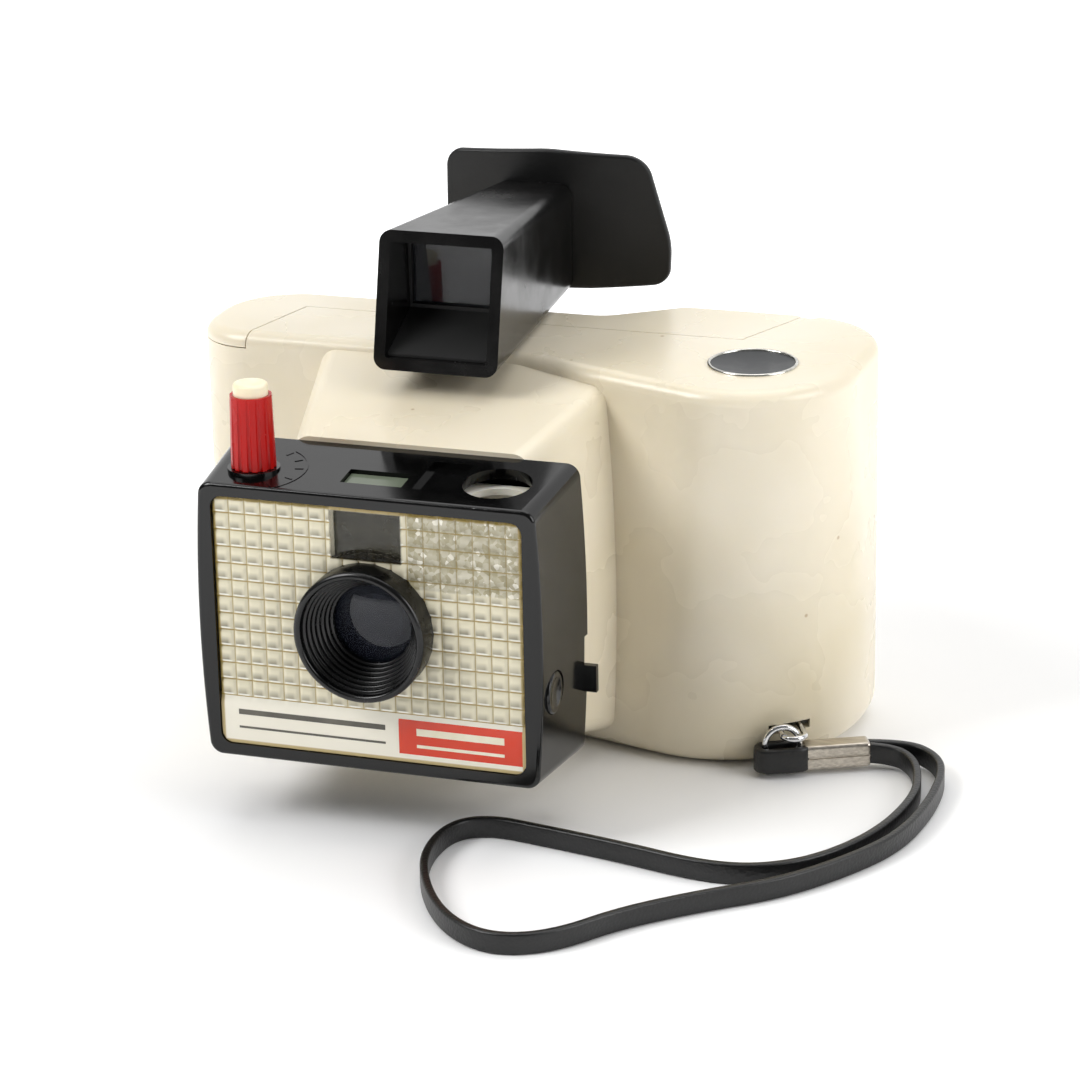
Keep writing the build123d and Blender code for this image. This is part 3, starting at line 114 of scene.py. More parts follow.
def add(tree, kind, settings=None, links=None):
    """Adds a shader node: settings by socket or property name, links as socket: (node, output)."""
    node = tree.nodes.new(kind)
    for name, value in (settings or {}).items():
        if name in node.inputs:
            node.inputs[name].default_value = value
        else:
            setattr(node, name, value)
    for name, (source, output) in (links or {}).items():
        tree.links.new(source.outputs[output], node.inputs[name])
    return node


def new_material(name):
    """An empty material with its shader and output joined."""
    material = bpy.data.materials.new(name)
    material.use_nodes = True
    tree = material.node_tree
    tree.nodes.clear()
    shader = add(tree, "ShaderNodeBsdfPrincipled")
    add(tree, "ShaderNodeOutputMaterial", links={"Surface": (shader, "BSDF")})
    return material, tree, shader


def blend_colours(tree, factor, low, high, start=0.0, end=1.0):
    """A ramp from one hex colour to another, driven by a value."""
    ramp = add(tree, "ShaderNodeValToRGB", links={"Fac": factor})
    ramp.color_ramp.elements[0].position = start
    ramp.color_ramp.elements[1].position = end
    ramp.color_ramp.elements[0].color = linear(low)
    ramp.color_ramp.elements[1].color = linear(high)
    return ramp


def embossed_vinyl(name):
    """Plasticised PVC with an embossed leather grain: near black, softly shiny, greyer where worn."""
    material, tree, shader = new_material(name)
    place = add(tree, "ShaderNodeTexCoord")
    grain = add(tree, "ShaderNodeTexVoronoi", {"Scale": 1 / (0.7 * MM)}, {"Vector": (place, "Object")})
    wear = add(
        tree, "ShaderNodeTexNoise", {"Scale": 1 / (9 * MM), "Detail": 4.0},
        {"Vector": (place, "Object")},
    )
    colour = blend_colours(tree, (wear, "Fac"), "#070707", "#131314", 0.35, 0.8)
    bump = add(
        tree, "ShaderNodeBump", {"Strength": 0.5, "Distance": 0.12 * MM},
        {"Height": (grain, "Distance")},
    )
    tree.links.new(colour.outputs["Color"], shader.inputs["Base Color"])
    tree.links.new(bump.outputs["Normal"], shader.inputs["Normal"])
    shader.inputs["Roughness"].default_value = 0.38
    shader.inputs["IOR"].default_value = 1.53
    return material


vinyl = embossed_vinyl("embossed_vinyl")


def rounded_section(wide, tall, corner, steps=4):
    """Points round a rectangle with round corners, anticlockwise."""
    points = []
    for quarter, (sx, sy) in enumerate(((1, 1), (-1, 1), (-1, -1), (1, -1))):
        for step in range(steps + 1):
            turn = (quarter + step / steps) * pi / 2
            points.append((
                sx * (wide / 2 - corner) + corner * cos(turn),
                sy * (tall / 2 - corner) + corner * sin(turn),
            ))
    return points


profile_data = bpy.data.curves.new("strap_section", "CURVE")
profile_data.dimensions = "2D"
profile_points = rounded_section(STRAP_THICK * MM, STRAP_WIDE * MM, STRAP_CORNER * MM)
profile_line = profile_data.splines.new("POLY")
profile_line.points.add(len(profile_points) - 1)
for point, (x, y) in zip(profile_line.points, profile_points):
    point.co = (x, y, 0, 1)
profile_line.use_cyclic_u = True
profile = bpy.data.objects.new("strap_section", profile_data)

strap_data = bpy.data.curves.new("wrist_strap_band", "CURVE")
strap_data.dimensions = "3D"
strap_data.twist_mode = "Z_UP"
strap_data.bevel_mode = "OBJECT"
strap_data.bevel_object = profile
strap_data.use_fill_caps = True
strap_data.resolution_u = 12
route = strap_data.splines.new("NURBS")
route.points.add(len(STRAP_ROUTE) - 1)
for point, (x, y, z) in zip(route.points, STRAP_ROUTE):
    point.co = (LENS_X + x, FACE_Y + y, z, 1)
route.order_u = 3
route.use_endpoint_u = True
strap = bpy.data.objects.new("wrist_strap_band", strap_data)
bpy.context.scene.collection.objects.link(strap)
strap_data.materials.append(vinyl)
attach(strap, "camera")
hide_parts("wrist_strap")


# ---- Strap eye
# The strap's short end is folded into a small eye, made of the same vinyl band.
ferrule_low, ferrule_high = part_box("strap_ferrule")
ferrule_middle = (ferrule_low + ferrule_high) / 2
FERRULE_TURN = 26.0
FERRULE_LONG = 15.0
EYE_LONG = 6.4
EYE_DEEP = 6.4
EYE_TALL = 5.6
EYE_IN_FERRULE = 2.0
EYE_AT = -(FERRULE_LONG / 2 + EYE_LONG - EYE_IN_FERRULE)
EYE_STEPS = 12


def at_ferrule(x, y, z=0.0):
    """A place in millimetres measured along and across the ferrule, from its middle."""
    turn = radians(FERRULE_TURN)
    offset = Vector((x * cos(turn) - y * sin(turn), x * sin(turn) + y * cos(turn), z))
    return ferrule_middle + offset * MM


def make_piece(name, points, faces, material, body, smooth=True):
    """A mesh object from points and faces that rides on a body."""
    mesh = bpy.data.meshes.new(name)
    mesh.from_pydata([tuple(p) for p in points], [], faces)
    mesh.materials.append(material)
    build = bmesh.new()
    build.from_mesh(mesh)
    bmesh.ops.recalc_face_normals(build, faces=build.faces)
    build.to_mesh(mesh)
    build.free()
    mesh.polygons.foreach_set("use_smooth", [smooth] * len(mesh.polygons))
    piece = bpy.data.objects.new(name, mesh)
    bpy.context.scene.collection.objects.link(piece)
    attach(piece, body)
    return piece


def swept(rings, closed=True):
    """Points and faces that join rings of the same count, one after another."""
    count = len(rings[0])
    points = [p for ring in rings for p in ring]
    faces = []
    spans = len(rings) if closed else len(rings) - 1
    for i in range(spans):
        j = (i + 1) % len(rings)
        for k in range(count):
            m = (k + 1) % count
            faces.append((i * count + k, i * count + m, j * count + m, j * count + k))
    if not closed:
        faces.append(tuple(range(count))[::-1])
        faces.append(tuple(range((len(rings) - 1) * count, len(rings) * count)))
    return points, faces


eye_section = rounded_section(STRAP_THICK, EYE_TALL, STRAP_CORNER)
eye_radius = (EYE_DEEP - STRAP_THICK) / 2
eye_rings = []
for side in (1, -1):
    for step in range(EYE_STEPS + 1):
        turn = pi * step / EYE_STEPS - side * pi / 2
        middle_x = EYE_AT + side * EYE_LONG / 2
        eye_rings.append([
            at_ferrule(middle_x + (eye_radius + a) * cos(turn), (eye_radius + a) * sin(turn), b)
            for a, b in eye_section
        ])
eye_points, eye_faces = swept(eye_rings)
strap_eye = make_piece("strap_eye_fold", eye_points, eye_faces, vinyl, "camera")
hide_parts("strap_eye")


# ---- Ferrule
# A nickel-plated steel strip, rolled round both ends of the strap and crimped. Its two
# edges meet in a seam along the front, and the plating has fine rolling scratches.
def rolled_metal(name, hex_low, hex_high, rough, scratch_mm, turn_z=0.0):
    """Plated sheet metal: bright, with fine scratches along the direction it was rolled."""
    material, tree, shader = new_material(name)
    place = add(tree, "ShaderNodeTexCoord")
    stretch = add(
        tree, "ShaderNodeMapping",
        {"Rotation": (0, 0, radians(-turn_z)), "Scale": (0.08, 1.0, 1.0)},
        {"Vector": (place, "Object")},
    )
    scratch = add(
        tree, "ShaderNodeTexNoise", {"Scale": 1 / (scratch_mm * MM), "Detail": 3.0},
        {"Vector": (stretch, "Vector")},
    )
    colour = blend_colours(tree, (scratch, "Fac"), hex_low, hex_high, 0.3, 0.7)
    bump = add(
        tree, "ShaderNodeBump", {"Strength": 0.25, "Distance": 0.04 * MM},
        {"Height": (scratch, "Fac")},
    )
    tree.links.new(colour.outputs["Color"], shader.inputs["Base Color"])
    tree.links.new(bump.outputs["Normal"], shader.inputs["Normal"])
    shader.inputs["Metallic"].default_value = 1.0
    shader.inputs["Roughness"].default_value = rough
    return material


nickel = rolled_metal("rolled_nickel_plate", "#A9A196", "#CFC8BC", 0.3, 0.5, FERRULE_TURN)
FERRULE_DEEP = 4.8
FERRULE_TALL = (ferrule_high.z - ferrule_low.z) / MM
FERRULE_CORNER = 0.8
SEAM_DEEP = 0.35
SEAM_LIP = 0.35
SEAM_GAP = 0.1
seam_section = rounded_section(FERRULE_DEEP, FERRULE_TALL, FERRULE_CORNER, 5)
seam_at = next(i for i, (a, b) in enumerate(seam_section) if a < 0 and b < 0)
seam_section[seam_at:seam_at] = [
    (-FERRULE_DEEP / 2, SEAM_LIP), (-FERRULE_DEEP / 2 + SEAM_DEEP, SEAM_GAP),
    (-FERRULE_DEEP / 2 + SEAM_DEEP, -SEAM_GAP), (-FERRULE_DEEP / 2, -SEAM_LIP),
]
ferrule_rings = []
for x, shrink in ((-0.5, 0.86), (-0.485, 0.96), (-0.46, 1.0), (0.46, 1.0), (0.485, 0.96), (0.5, 0.86)):
    ferrule_rings.append([at_ferrule(x * FERRULE_LONG, a * shrink, b * shrink) for a, b in seam_section])
ferrule_points, ferrule_faces = swept(ferrule_rings, closed=False)
ferrule = make_piece(
    "strap_ferrule_crimp", ferrule_points, ferrule_faces, nickel, "camera", smooth=False,
)
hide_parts("strap_ferrule")


def finish(material, *names):
    """Gives CAD nodes their material."""
    for name in names:
        for place in nodes[name].material_slots:
            place.material = material


# ---- Staple, ring and pin
# Bent spring-steel wire, bright chrome-plated, that holds the strap to the grip.
chrome = rolled_metal("chromed_wire", "#C9CACC", "#F1F1F1", 0.12, 0.8)
finish(chrome, "strap_staple", "strap_ring", "strap_pin")


# ---- Body mouldings
# Front shell, back door and battery door are injection-moulded ivory styrene. They are
# glossy, a little yellowed by age, and carry faint stains, specks and rubbed patches.
def aged_styrene(name, hex_clean, hex_aged, rough, patch_mm, depth=0.12, refraction=1.55):
    """Old polystyrene: soft gloss, warm yellowing in patches and a few brown specks."""
    material, tree, shader = new_material(name)
    place = add(tree, "ShaderNodeTexCoord")
    patches = add(
        tree, "ShaderNodeTexNoise", {"Scale": 1 / (patch_mm * MM), "Detail": 2.0, "Roughness": 0.45},
        {"Vector": (place, "Object")},
    )
    colour = blend_colours(tree, (patches, "Fac"), hex_clean, hex_aged, 0.3, 0.85)
    speck_cells = add(tree, "ShaderNodeTexVoronoi", {"Scale": 1 / (17 * MM)}, {"Vector": (place, "Object")})
    specks = add(
        tree, "ShaderNodeMapRange", {"From Min": 0.02, "From Max": 0.035, "To Min": 0.6, "To Max": 0.0},
        {"Value": (speck_cells, "Distance")},
    )
    speckled = add(
        tree, "ShaderNodeMix", {"data_type": "RGBA", "B": linear("#9C7B45")},
        {"Factor": (specks, "Result"), "A": (colour, "Color")},
    )
    rubbed = add(
        tree, "ShaderNodeTexNoise", {"Scale": 1 / (24 * MM), "Detail": 3.0}, {"Vector": (place, "Object")}
    )
    roughness = add(
        tree, "ShaderNodeMapRange", {"To Min": rough - 0.07, "To Max": rough + 0.12},
        {"Value": (rubbed, "Fac")},
    )
    ripple = add(
        tree, "ShaderNodeTexNoise", {"Scale": 1 / (12 * MM), "Detail": 1.0},
        {"Vector": (place, "Object")},
    )
    bump = add(
        tree, "ShaderNodeBump", {"Strength": 0.12, "Distance": 0.25 * MM},
        {"Height": (ripple, "Fac")},
    )
    tree.links.new(speckled.outputs["Result"], shader.inputs["Base Color"])
    tree.links.new(roughness.outputs["Result"], shader.inputs["Roughness"])
    tree.links.new(bump.outputs["Normal"], shader.inputs["Normal"])
    shader.inputs["IOR"].default_value = refraction
    shader.inputs["Subsurface Weight"].default_value = depth
    shader.inputs["Subsurface Radius"].default_value = (0.9, 0.7, 0.4)
    shader.inputs["Subsurface Scale"].default_value = 1.2 * MM
    return material


ivory = aged_styrene("aged_ivory_styrene", "#E8DFCB", "#DACEB0", 0.25, 40)
finish(ivory, "front_shell", "back_door", "battery_door")


# ---- Shutter housing
# A deep box moulded in black high-gloss styrene, with its back cover, the round plug in
# its side and the ejector's tab in the same plastic. Handling has dulled it in places.
def black_styrene(name, hex_deep, hex_worn, rough, wear_mm, ripple):
    """Black polystyrene: mirror-like where untouched, greyer and duller where it is rubbed."""
    material, tree, shader = new_material(name)
    place = add(tree, "ShaderNodeTexCoord")
    wear = add(
        tree, "ShaderNodeTexNoise", {"Scale": 1 / (wear_mm * MM), "Detail": 6.0, "Roughness": 0.65},
        {"Vector": (place, "Object")},
    )
    colour = blend_colours(tree, (wear, "Fac"), hex_deep, hex_worn, 0.45, 0.85)
    roughness = add(
        tree, "ShaderNodeMapRange",
        {"From Min": 0.35, "From Max": 0.75, "To Min": rough, "To Max": rough + 0.16},
        {"Value": (wear, "Fac")},
    )
    flow = add(
        tree, "ShaderNodeTexNoise", {"Scale": 1 / (7 * MM), "Detail": 1.0},
        {"Vector": (place, "Object")},
    )
    bump = add(
        tree, "ShaderNodeBump", {"Strength": ripple, "Distance": 0.2 * MM},
        {"Height": (flow, "Fac")},
    )
    tree.links.new(colour.outputs["Color"], shader.inputs["Base Color"])
    tree.links.new(roughness.outputs["Result"], shader.inputs["Roughness"])
    tree.links.new(bump.outputs["Normal"], shader.inputs["Normal"])
    shader.inputs["IOR"].default_value = 1.45
    return material


gloss_black = black_styrene("gloss_black_styrene", "#050505", "#0C0C0C", 0.08, 22, 0.05)
finish(gloss_black, "shutter_housing", "side_plug", "bulb_ejector", "door_latch")
dull_black = black_styrene("dull_black_styrene", "#070707", "#0F0F0E", 0.5, 15, 0.2)
finish(dull_black, "housing_back", "light_cone", "battery_tray", "bulb_socket", "shutter_board")


# ---- Dial marks
# Fine marks round the knob's foot, moulded as thin raised lines on the housing's top.
knob_low, knob_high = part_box("exposure_knob")
KNOB_X = (knob_low.x + knob_high.x) / 2
KNOB_Y = (knob_low.y + knob_high.y) / 2
TOP_FRONT_Z = 76.9
TOP_REAR_Z = 79.4
TOP_DEEP = 24.8
TOP_SLOPE = (TOP_REAR_Z - TOP_FRONT_Z) / TOP_DEEP
DIAL_RADIUS = 11.4
LINE_WIDE = 0.35
LINE_TALL = 0.14


def on_top(x, y, lift=0.0):
    """A place on the housing's sloping top, in the frame's metres."""
    return Vector((x, y, (TOP_FRONT_Z + lift) * MM + TOP_SLOPE * (y - FACE_Y)))


def raised_line(start, end):
    """A thin raised bar between two places on the housing's top."""
    along = Vector((end[0] - start[0], end[1] - start[1]))
    across = Vector((-along.y, along.x)).normalized() * LINE_WIDE * MM / 2
    corners = []
    for lift in (-0.1, LINE_TALL):
        for x, y in (start, end):
            for side in (-1, 1):
                corners.append(on_top(x + side * across.x, y + side * across.y, lift))
    faces = [(0, 1, 3, 2), (4, 6, 7, 5), (0, 2, 6, 4), (1, 5, 7, 3), (0, 4, 5, 1), (2, 3, 7, 6)]
    return corners, faces


mark_points, mark_faces = [], []


def round_knob(radius, turn):
    """A place round the knob's foot, from a radius in millimetres and an angle."""
    return KNOB_X + radius * MM * cos(radians(turn)), KNOB_Y + radius * MM * sin(radians(turn))


def add_mark(start, end):
    """Adds one raised line to the dial."""
    corners, faces = raised_line(start, end)
    first = len(mark_points)
    mark_points.extend(corners)
    mark_faces.extend([tuple(first + i for i in face) for face in faces])


ARC_TURNS = [-50 + 10 * i for i in range(12)]
TICK_TURNS = (-50, -20, 10, 35, 60)
TICK_REACH = (2.6, 0.8)
for first, second in zip(ARC_TURNS, ARC_TURNS[1:]):
    add_mark(round_knob(DIAL_RADIUS, first), round_knob(DIAL_RADIUS, second))
for turn in TICK_TURNS:
    add_mark(*[round_knob(DIAL_RADIUS - reach, turn) for reach in TICK_REACH])
make_piece("dial_marks", mark_points, mark_faces, gloss_black, "camera", smooth=False)


# ---- Top window and disc
# The window is a clear pane with a green cast, sunk in the housing's top. The disc on the
# body is dished grey styrene with a bright rolled rim.
def clear_plastic(name, hex_colour, alpha, rough):
    """Clear moulded acrylic that lets the layer behind it show, with a glossy face."""
    material, tree, shader = new_material(name)
    place = add(tree, "ShaderNodeTexCoord")
    haze = add(
        tree, "ShaderNodeTexNoise", {"Scale": 1 / (5 * MM), "Detail": 3.0},
        {"Vector": (place, "Object")},
    )
    roughness = add(
        tree, "ShaderNodeMapRange", {"To Min": rough, "To Max": rough + 0.12}, {"Value": (haze, "Fac")}
    )
    tree.links.new(roughness.outputs["Result"], shader.inputs["Roughness"])
    shader.inputs["Base Color"].default_value = linear(hex_colour)
    shader.inputs["Alpha"].default_value = alpha
    shader.inputs["IOR"].default_value = 1.49
    return material


window_pane = clear_plastic("green_cast_acrylic", "#6E7766", 0.8, 0.1)
finish(window_pane, "top_window")
disc_grey = black_styrene("grey_styrene", "#26282A", "#3E4042", 0.34, 6, 0.2)
finish(disc_grey, "top_disc", "roll_pin_top", "roll_pin_base")
disc_low, disc_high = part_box("top_disc")
DISC_TOP = disc_high.z / MM
disc_x = (disc_low.x + disc_high.x) / 2
disc_y = (disc_low.y + disc_high.y) / 2
disc_radius = (disc_high.x - disc_low.x) / 2 / MM
rim_rings = []
RIM_SECTION = ((-0.35, -0.5), (-0.35, 0.16), (-0.12, 0.3), (0.12, 0.3), (0.35, 0.16), (0.35, -0.5))
for step in range(96):
    turn = 2 * pi * step / 96
    rim_rings.append([
        Vector((
            disc_x + (disc_radius + a - 0.1) * MM * cos(turn),
            disc_y + (disc_radius + a - 0.1) * MM * sin(turn),
            (DISC_TOP + b) * MM,
        ))
        for a, b in RIM_SECTION
    ])
rim_points, rim_faces = swept(rim_rings)
bright_rim = rolled_metal("polished_rim", "#B9B8B2", "#E6E4DC", 0.22, 0.6)
make_piece("disc_rim", rim_points, rim_faces, bright_rim, "camera")


# ---- Face panel
# One clear acrylic moulding covers the face. Its front is pressed into rows of small
# square pillows, and the grooves between them have gone amber with age.
panel_low, panel_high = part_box("grid_panel")
badge_low, badge_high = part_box("name_badge")
meter_low, meter_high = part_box("meter_window")
GRID_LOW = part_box("backing_card")[0].z
PANEL_CORNER = 2.45 * MM
PITCH = 3.62 * MM
CELL_STEPS = 8
GROOVE = 0.55 * MM
columns = round((panel_high.x - panel_low.x) / PITCH)
rows = round((panel_high.z - GRID_LOW) / PITCH)
lines_x = []
for i in range(columns * CELL_STEPS + 1):
    lines_x.append(panel_low.x + (panel_high.x - panel_low.x) * i / (columns * CELL_STEPS))
STRIP_STEPS = 6
lines_z = [panel_low.z + (GRID_LOW - panel_low.z) * i / STRIP_STEPS for i in range(STRIP_STEPS)]
for i in range(rows * CELL_STEPS + 1):
    lines_z.append(GRID_LOW + (panel_high.z - GRID_LOW) * i / (rows * CELL_STEPS))
HOLE = 12.6 * MM
flash_low_x = bench(9.2, 0, 0).x
flash_low_z = 57.6 * MM


def in_rounded_box(x, z):
    """Draws a place in to the panel's rounded outline."""
    inner_x = min(max(x, panel_low.x + PANEL_CORNER), panel_high.x - PANEL_CORNER)
    inner_z = min(max(z, panel_low.z + PANEL_CORNER), panel_high.z - PANEL_CORNER)
    far = hypot(x - inner_x, z - inner_z)
    if far <= PANEL_CORNER or x == inner_x or z == inner_z:
        return x, z
    return inner_x + (x - inner_x) * PANEL_CORNER / far, inner_z + (z - inner_z) * PANEL_CORNER / far


def pillow(x, z):
    """The rise from 0 in the groove to 1 on the crown, how much the plastic hides, and 1 in the flash."""
    if z < GRID_LOW:
        return 1.0, 0.96, 0.0
    if meter_low.x - 0.1 * MM < x < meter_high.x + 0.1 * MM and z > meter_low.z:
        return 1.0, 0.04, 0.0
    u = (x - panel_low.x) / (panel_high.x - panel_low.x) * columns % 1.0
    v = (z - GRID_LOW) / (panel_high.z - GRID_LOW) * rows % 1.0
    crown = (1 - abs(2 * u - 1) ** 6) * (1 - abs(2 * v - 1) ** 5)
    in_flash = 1.0 if x > flash_low_x and z > flash_low_z else 0.0
    return crown, 0.93, in_flash


panel_points, covers, flashes = [], [], []
for z in lines_z:
    for x in lines_x:
        crown, cover, in_flash = pillow(x, z)
        px, pz = in_rounded_box(x, z)
        panel_points.append((px, panel_low.y + GROOVE * (1 - crown), pz))
        covers.append(cover)
        flashes.append(in_flash)
panel_faces = []
wide = len(lines_x)
for j in range(len(lines_z) - 1):
    for i in range(wide - 1):
        middle_x = (lines_x[i] + lines_x[i + 1]) / 2
        middle_z = (lines_z[j] + lines_z[j + 1]) / 2
        if hypot(middle_x - LENS_X, middle_z - LENS_Z) > HOLE:
            panel_faces.append((j * wide + i, j * wide + i + 1, (j + 1) * wide + i + 1, (j + 1) * wide + i))


def ramp(tree, factor, stops):
    """A grey ramp through (position, value) stops, driven by a value."""
    node = add(tree, "ShaderNodeValToRGB", links={"Fac": factor})
    elements = node.color_ramp.elements
    while len(elements) < len(stops):
        elements.new(0.5)
    for element, (position, value) in zip(elements, stops):
        element.position = position
        element.color = (value, value, value, 1.0)
    return (node, "Color")


def maths(tree, operation, first, second):
    """One sum on two values, each a number or (node, output)."""
    node = add(tree, "ShaderNodeMath", {"operation": operation})
    for socket, value in zip(node.inputs, (first, second)):
        if isinstance(value, tuple):
            tree.links.new(value[0].outputs[value[1]], socket)
        else:
            socket.default_value = value
    return (node, "Value")


def tint(tree, factor, under, over):
    """One colour laid over another by a factor; each is a hex colour or (node, output)."""
    node = add(tree, "ShaderNodeMix", {"data_type": "RGBA"}, {"Factor": factor})
    for socket, value in ((node.inputs[6], under), (node.inputs[7], over)):
        if isinstance(value, tuple):
            tree.links.new(value[0].outputs[value[1]], socket)
        else:
            socket.default_value = linear(value)
    return (node, "Result")


def amber_acrylic(name):
    """Pressed acrylic over card: cream pillows, a painted grey reflection low in each with a painted
    white glint under it, amber grooves and rim, and the strip and label below as they show through."""
    material, tree, shader = new_material(name)
    place = add(tree, "ShaderNodeTexCoord")
    axes = add(tree, "ShaderNodeSeparateXYZ", links={"Vector": (place, "Object")})
    across = maths(tree, "SUBTRACT", (axes, "X"), panel_low.x)
    above = maths(tree, "SUBTRACT", (axes, "Z"), GRID_LOW)
    pitch_x = (panel_high.x - panel_low.x) / columns
    pitch_z = (panel_high.z - GRID_LOW) / rows
    u = maths(tree, "FRACT", maths(tree, "DIVIDE", across, pitch_x), 0.0)
    v = maths(tree, "FRACT", maths(tree, "DIVIDE", above, pitch_z), 0.0)
    drift = add(
        tree, "ShaderNodeTexNoise", {"Scale": 1 / (15 * MM), "Detail": 2.0},
        {"Vector": (place, "Object")},
    )
    # Painted reflection: a dark grey patch low in each pillow stands in for the gloss's reflection. A broad
    # noise makes it stronger or weaker.
    painted_reflection_u = ramp(tree, u, ((0.0, 0.0), (0.14, 0.85), (0.6, 1.0), (0.85, 0.0)))
    painted_reflection_v = ramp(tree, v, ((0.1, 0.0), (0.22, 1.0), (0.34, 0.75), (0.62, 0.0)))
    painted_reflection = maths(tree, "MULTIPLY", painted_reflection_u, painted_reflection_v)
    strength = ramp(tree, (drift, "Fac"), ((0.25, 0.35), (0.7, 0.95)))
    painted_reflection = maths(tree, "MULTIPLY", painted_reflection, strength)
    # Painted highlight: a thin near-white line low in each pillow, under the painted reflection.
    glint_v = ramp(tree, v, ((0.05, 0.0), (0.1, 1.0), (0.15, 1.0), (0.2, 0.0)))
    glint_u = ramp(tree, u, ((0.1, 0.0), (0.25, 1.0), (0.75, 1.0), (0.9, 0.0)))
    glint = maths(tree, "MULTIPLY", glint_u, glint_v)
    line_u = ramp(tree, u, ((0.0, 0.8), (0.06, 0.0), (0.94, 0.0), (1.0, 0.8)))
    line_v = ramp(tree, v, ((0.0, 1.0), (0.07, 0.0), (0.93, 0.0), (1.0, 1.0)))
    line = maths(tree, "MAXIMUM", line_u, line_v)
    body = tint(tree, painted_reflection, "#E4DDC3", "#6F6B5A")
    body = tint(tree, glint, body, "#FFFDF3")
    body = tint(tree, line, body, "#A28526")
    # In the flash corner the cells are painted as facets. Pale facets are painted glints, and darker facets
    # and the dimmed painted reflection are painted shade, over amber grooves.
    facets = add(tree, "ShaderNodeTexVoronoi", {"Scale": 1 / (1.0 * MM)}, {"Vector": (place, "Object")})
    facet = add(tree, "ShaderNodeSeparateColor", links={"Color": (facets, "Color")})
    painted_glint_facets = ramp(tree, (facet, "Red"), ((0.0, 0.0), (0.6, 0.3), (0.9, 0.45), (0.97, 1.0)))
    flash_cells_painted = tint(tree, painted_glint_facets, "#A39B7C", "#F6F2E4")
    flash_cells_painted = tint(tree, maths(tree, "MULTIPLY", painted_reflection, 0.7), flash_cells_painted, "#7F785E")
    flash_cells_painted = tint(tree, line, flash_cells_painted, "#9C8747")
    flash = add(tree, "ShaderNodeAttribute", {"attribute_name": "flash"})
    body = tint(tree, (flash, "Fac"), body, flash_cells_painted)
    label_x = maths(tree, "GREATER_THAN", (axes, "X"), badge_low.x)
    label_end = maths(tree, "LESS_THAN", (axes, "X"), badge_high.x)
    label_top = maths(tree, "LESS_THAN", (axes, "Z"), badge_high.z)
    label_foot = maths(tree, "GREATER_THAN", (axes, "Z"), badge_low.z)
    label = maths(tree, "MULTIPLY", maths(tree, "MULTIPLY", label_x, label_end), label_top)
    label = maths(tree, "MULTIPLY", label, label_foot)
    in_strip = maths(tree, "LESS_THAN", (axes, "Z"), GRID_LOW - 0.1 * MM)
    strip = tint(tree, label, "#F1ECDC", "#D93C1E")
    body = tint(tree, in_strip, body, strip)
    middle_x = (panel_low.x + panel_high.x) / 2
    middle_z = (panel_low.z + panel_high.z) / 2
    far_x = maths(tree, "ABSOLUTE", maths(tree, "SUBTRACT", (axes, "X"), middle_x), 0.0)
    far_z = maths(tree, "ABSOLUTE", maths(tree, "SUBTRACT", (axes, "Z"), middle_z), 0.0)
    rim_x = maths(tree, "SUBTRACT", far_x, (panel_high.x - panel_low.x) / 2 - 0.9 * MM)
    rim_z = maths(tree, "SUBTRACT", far_z, (panel_high.z - panel_low.z) / 2 - 0.9 * MM)
    rim = add(
        tree, "ShaderNodeMapRange", {"From Min": 0.0, "From Max": 0.3 * MM, "To Max": 0.8},
        {"Value": maths(tree, "MAXIMUM", rim_x, rim_z)},
    )
    body = tint(tree, (rim, "Result"), body, "#B69A4A")
    cover = add(tree, "ShaderNodeAttribute", {"attribute_name": "cover"})
    hide = maths(tree, "MAXIMUM", (cover, "Fac"), (rim, "Result"))
    tree.links.new(body[0].outputs[body[1]], shader.inputs["Base Color"])
    tree.links.new(hide[0].outputs[hide[1]], shader.inputs["Alpha"])
    shader.inputs["Roughness"].default_value = 0.12
    shader.inputs["IOR"].default_value = 1.49
    return material


panel_acrylic = amber_acrylic("amber_pressed_acrylic")
panel = make_piece("face_panel", panel_points, panel_faces, panel_acrylic, "camera")
for label, values in (("cover", covers), ("flash", flashes)):
    layer = panel.data.attributes.new(label, "FLOAT", "POINT")
    layer.data.foreach_set("value", values)
loose = bmesh.new()
loose.from_mesh(panel.data)
bmesh.ops.delete(loose, geom=[v for v in loose.verts if not v.link_faces], context="VERTS")
loose.to_mesh(panel.data)
loose.free()
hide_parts("grid_panel")


# ---- Backing card, strip and label
# Behind the panel lie a cream card, a cream strip and an orange-red printed label. Plain
# rules stand in for the print.
def printed_card(name, hex_colour, hex_stain, rough):
    """Coated card: even, slightly mottled, with a low sheen."""
    material, tree, shader = new_material(name)
    place = add(tree, "ShaderNodeTexCoord")
    mottle = add(
        tree, "ShaderNodeTexNoise", {"Scale": 1 / (6 * MM), "Detail": 5.0},
        {"Vector": (place, "Object")},
    )
    colour = blend_colours(tree, (mottle, "Fac"), hex_colour, hex_stain, 0.4, 0.85)
    tree.links.new(colour.outputs["Color"], shader.inputs["Base Color"])
    shader.inputs["Roughness"].default_value = rough
    shader.inputs["IOR"].default_value = 1.5
    return material


cream_card = printed_card("cream_card", "#F0EBD8", "#E2D8B8", 0.2)
finish(cream_card, "backing_card", "name_strip")
red_label = printed_card("orange_red_label", "#D2401F", "#C43A1E", 0.2)
finish(red_label, "name_badge", "cell_front", "cell_rear")
ink_grey = printed_card("grey_ink", "#57544C", "#6B675C", 0.5)
strip_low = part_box("name_strip")[0]


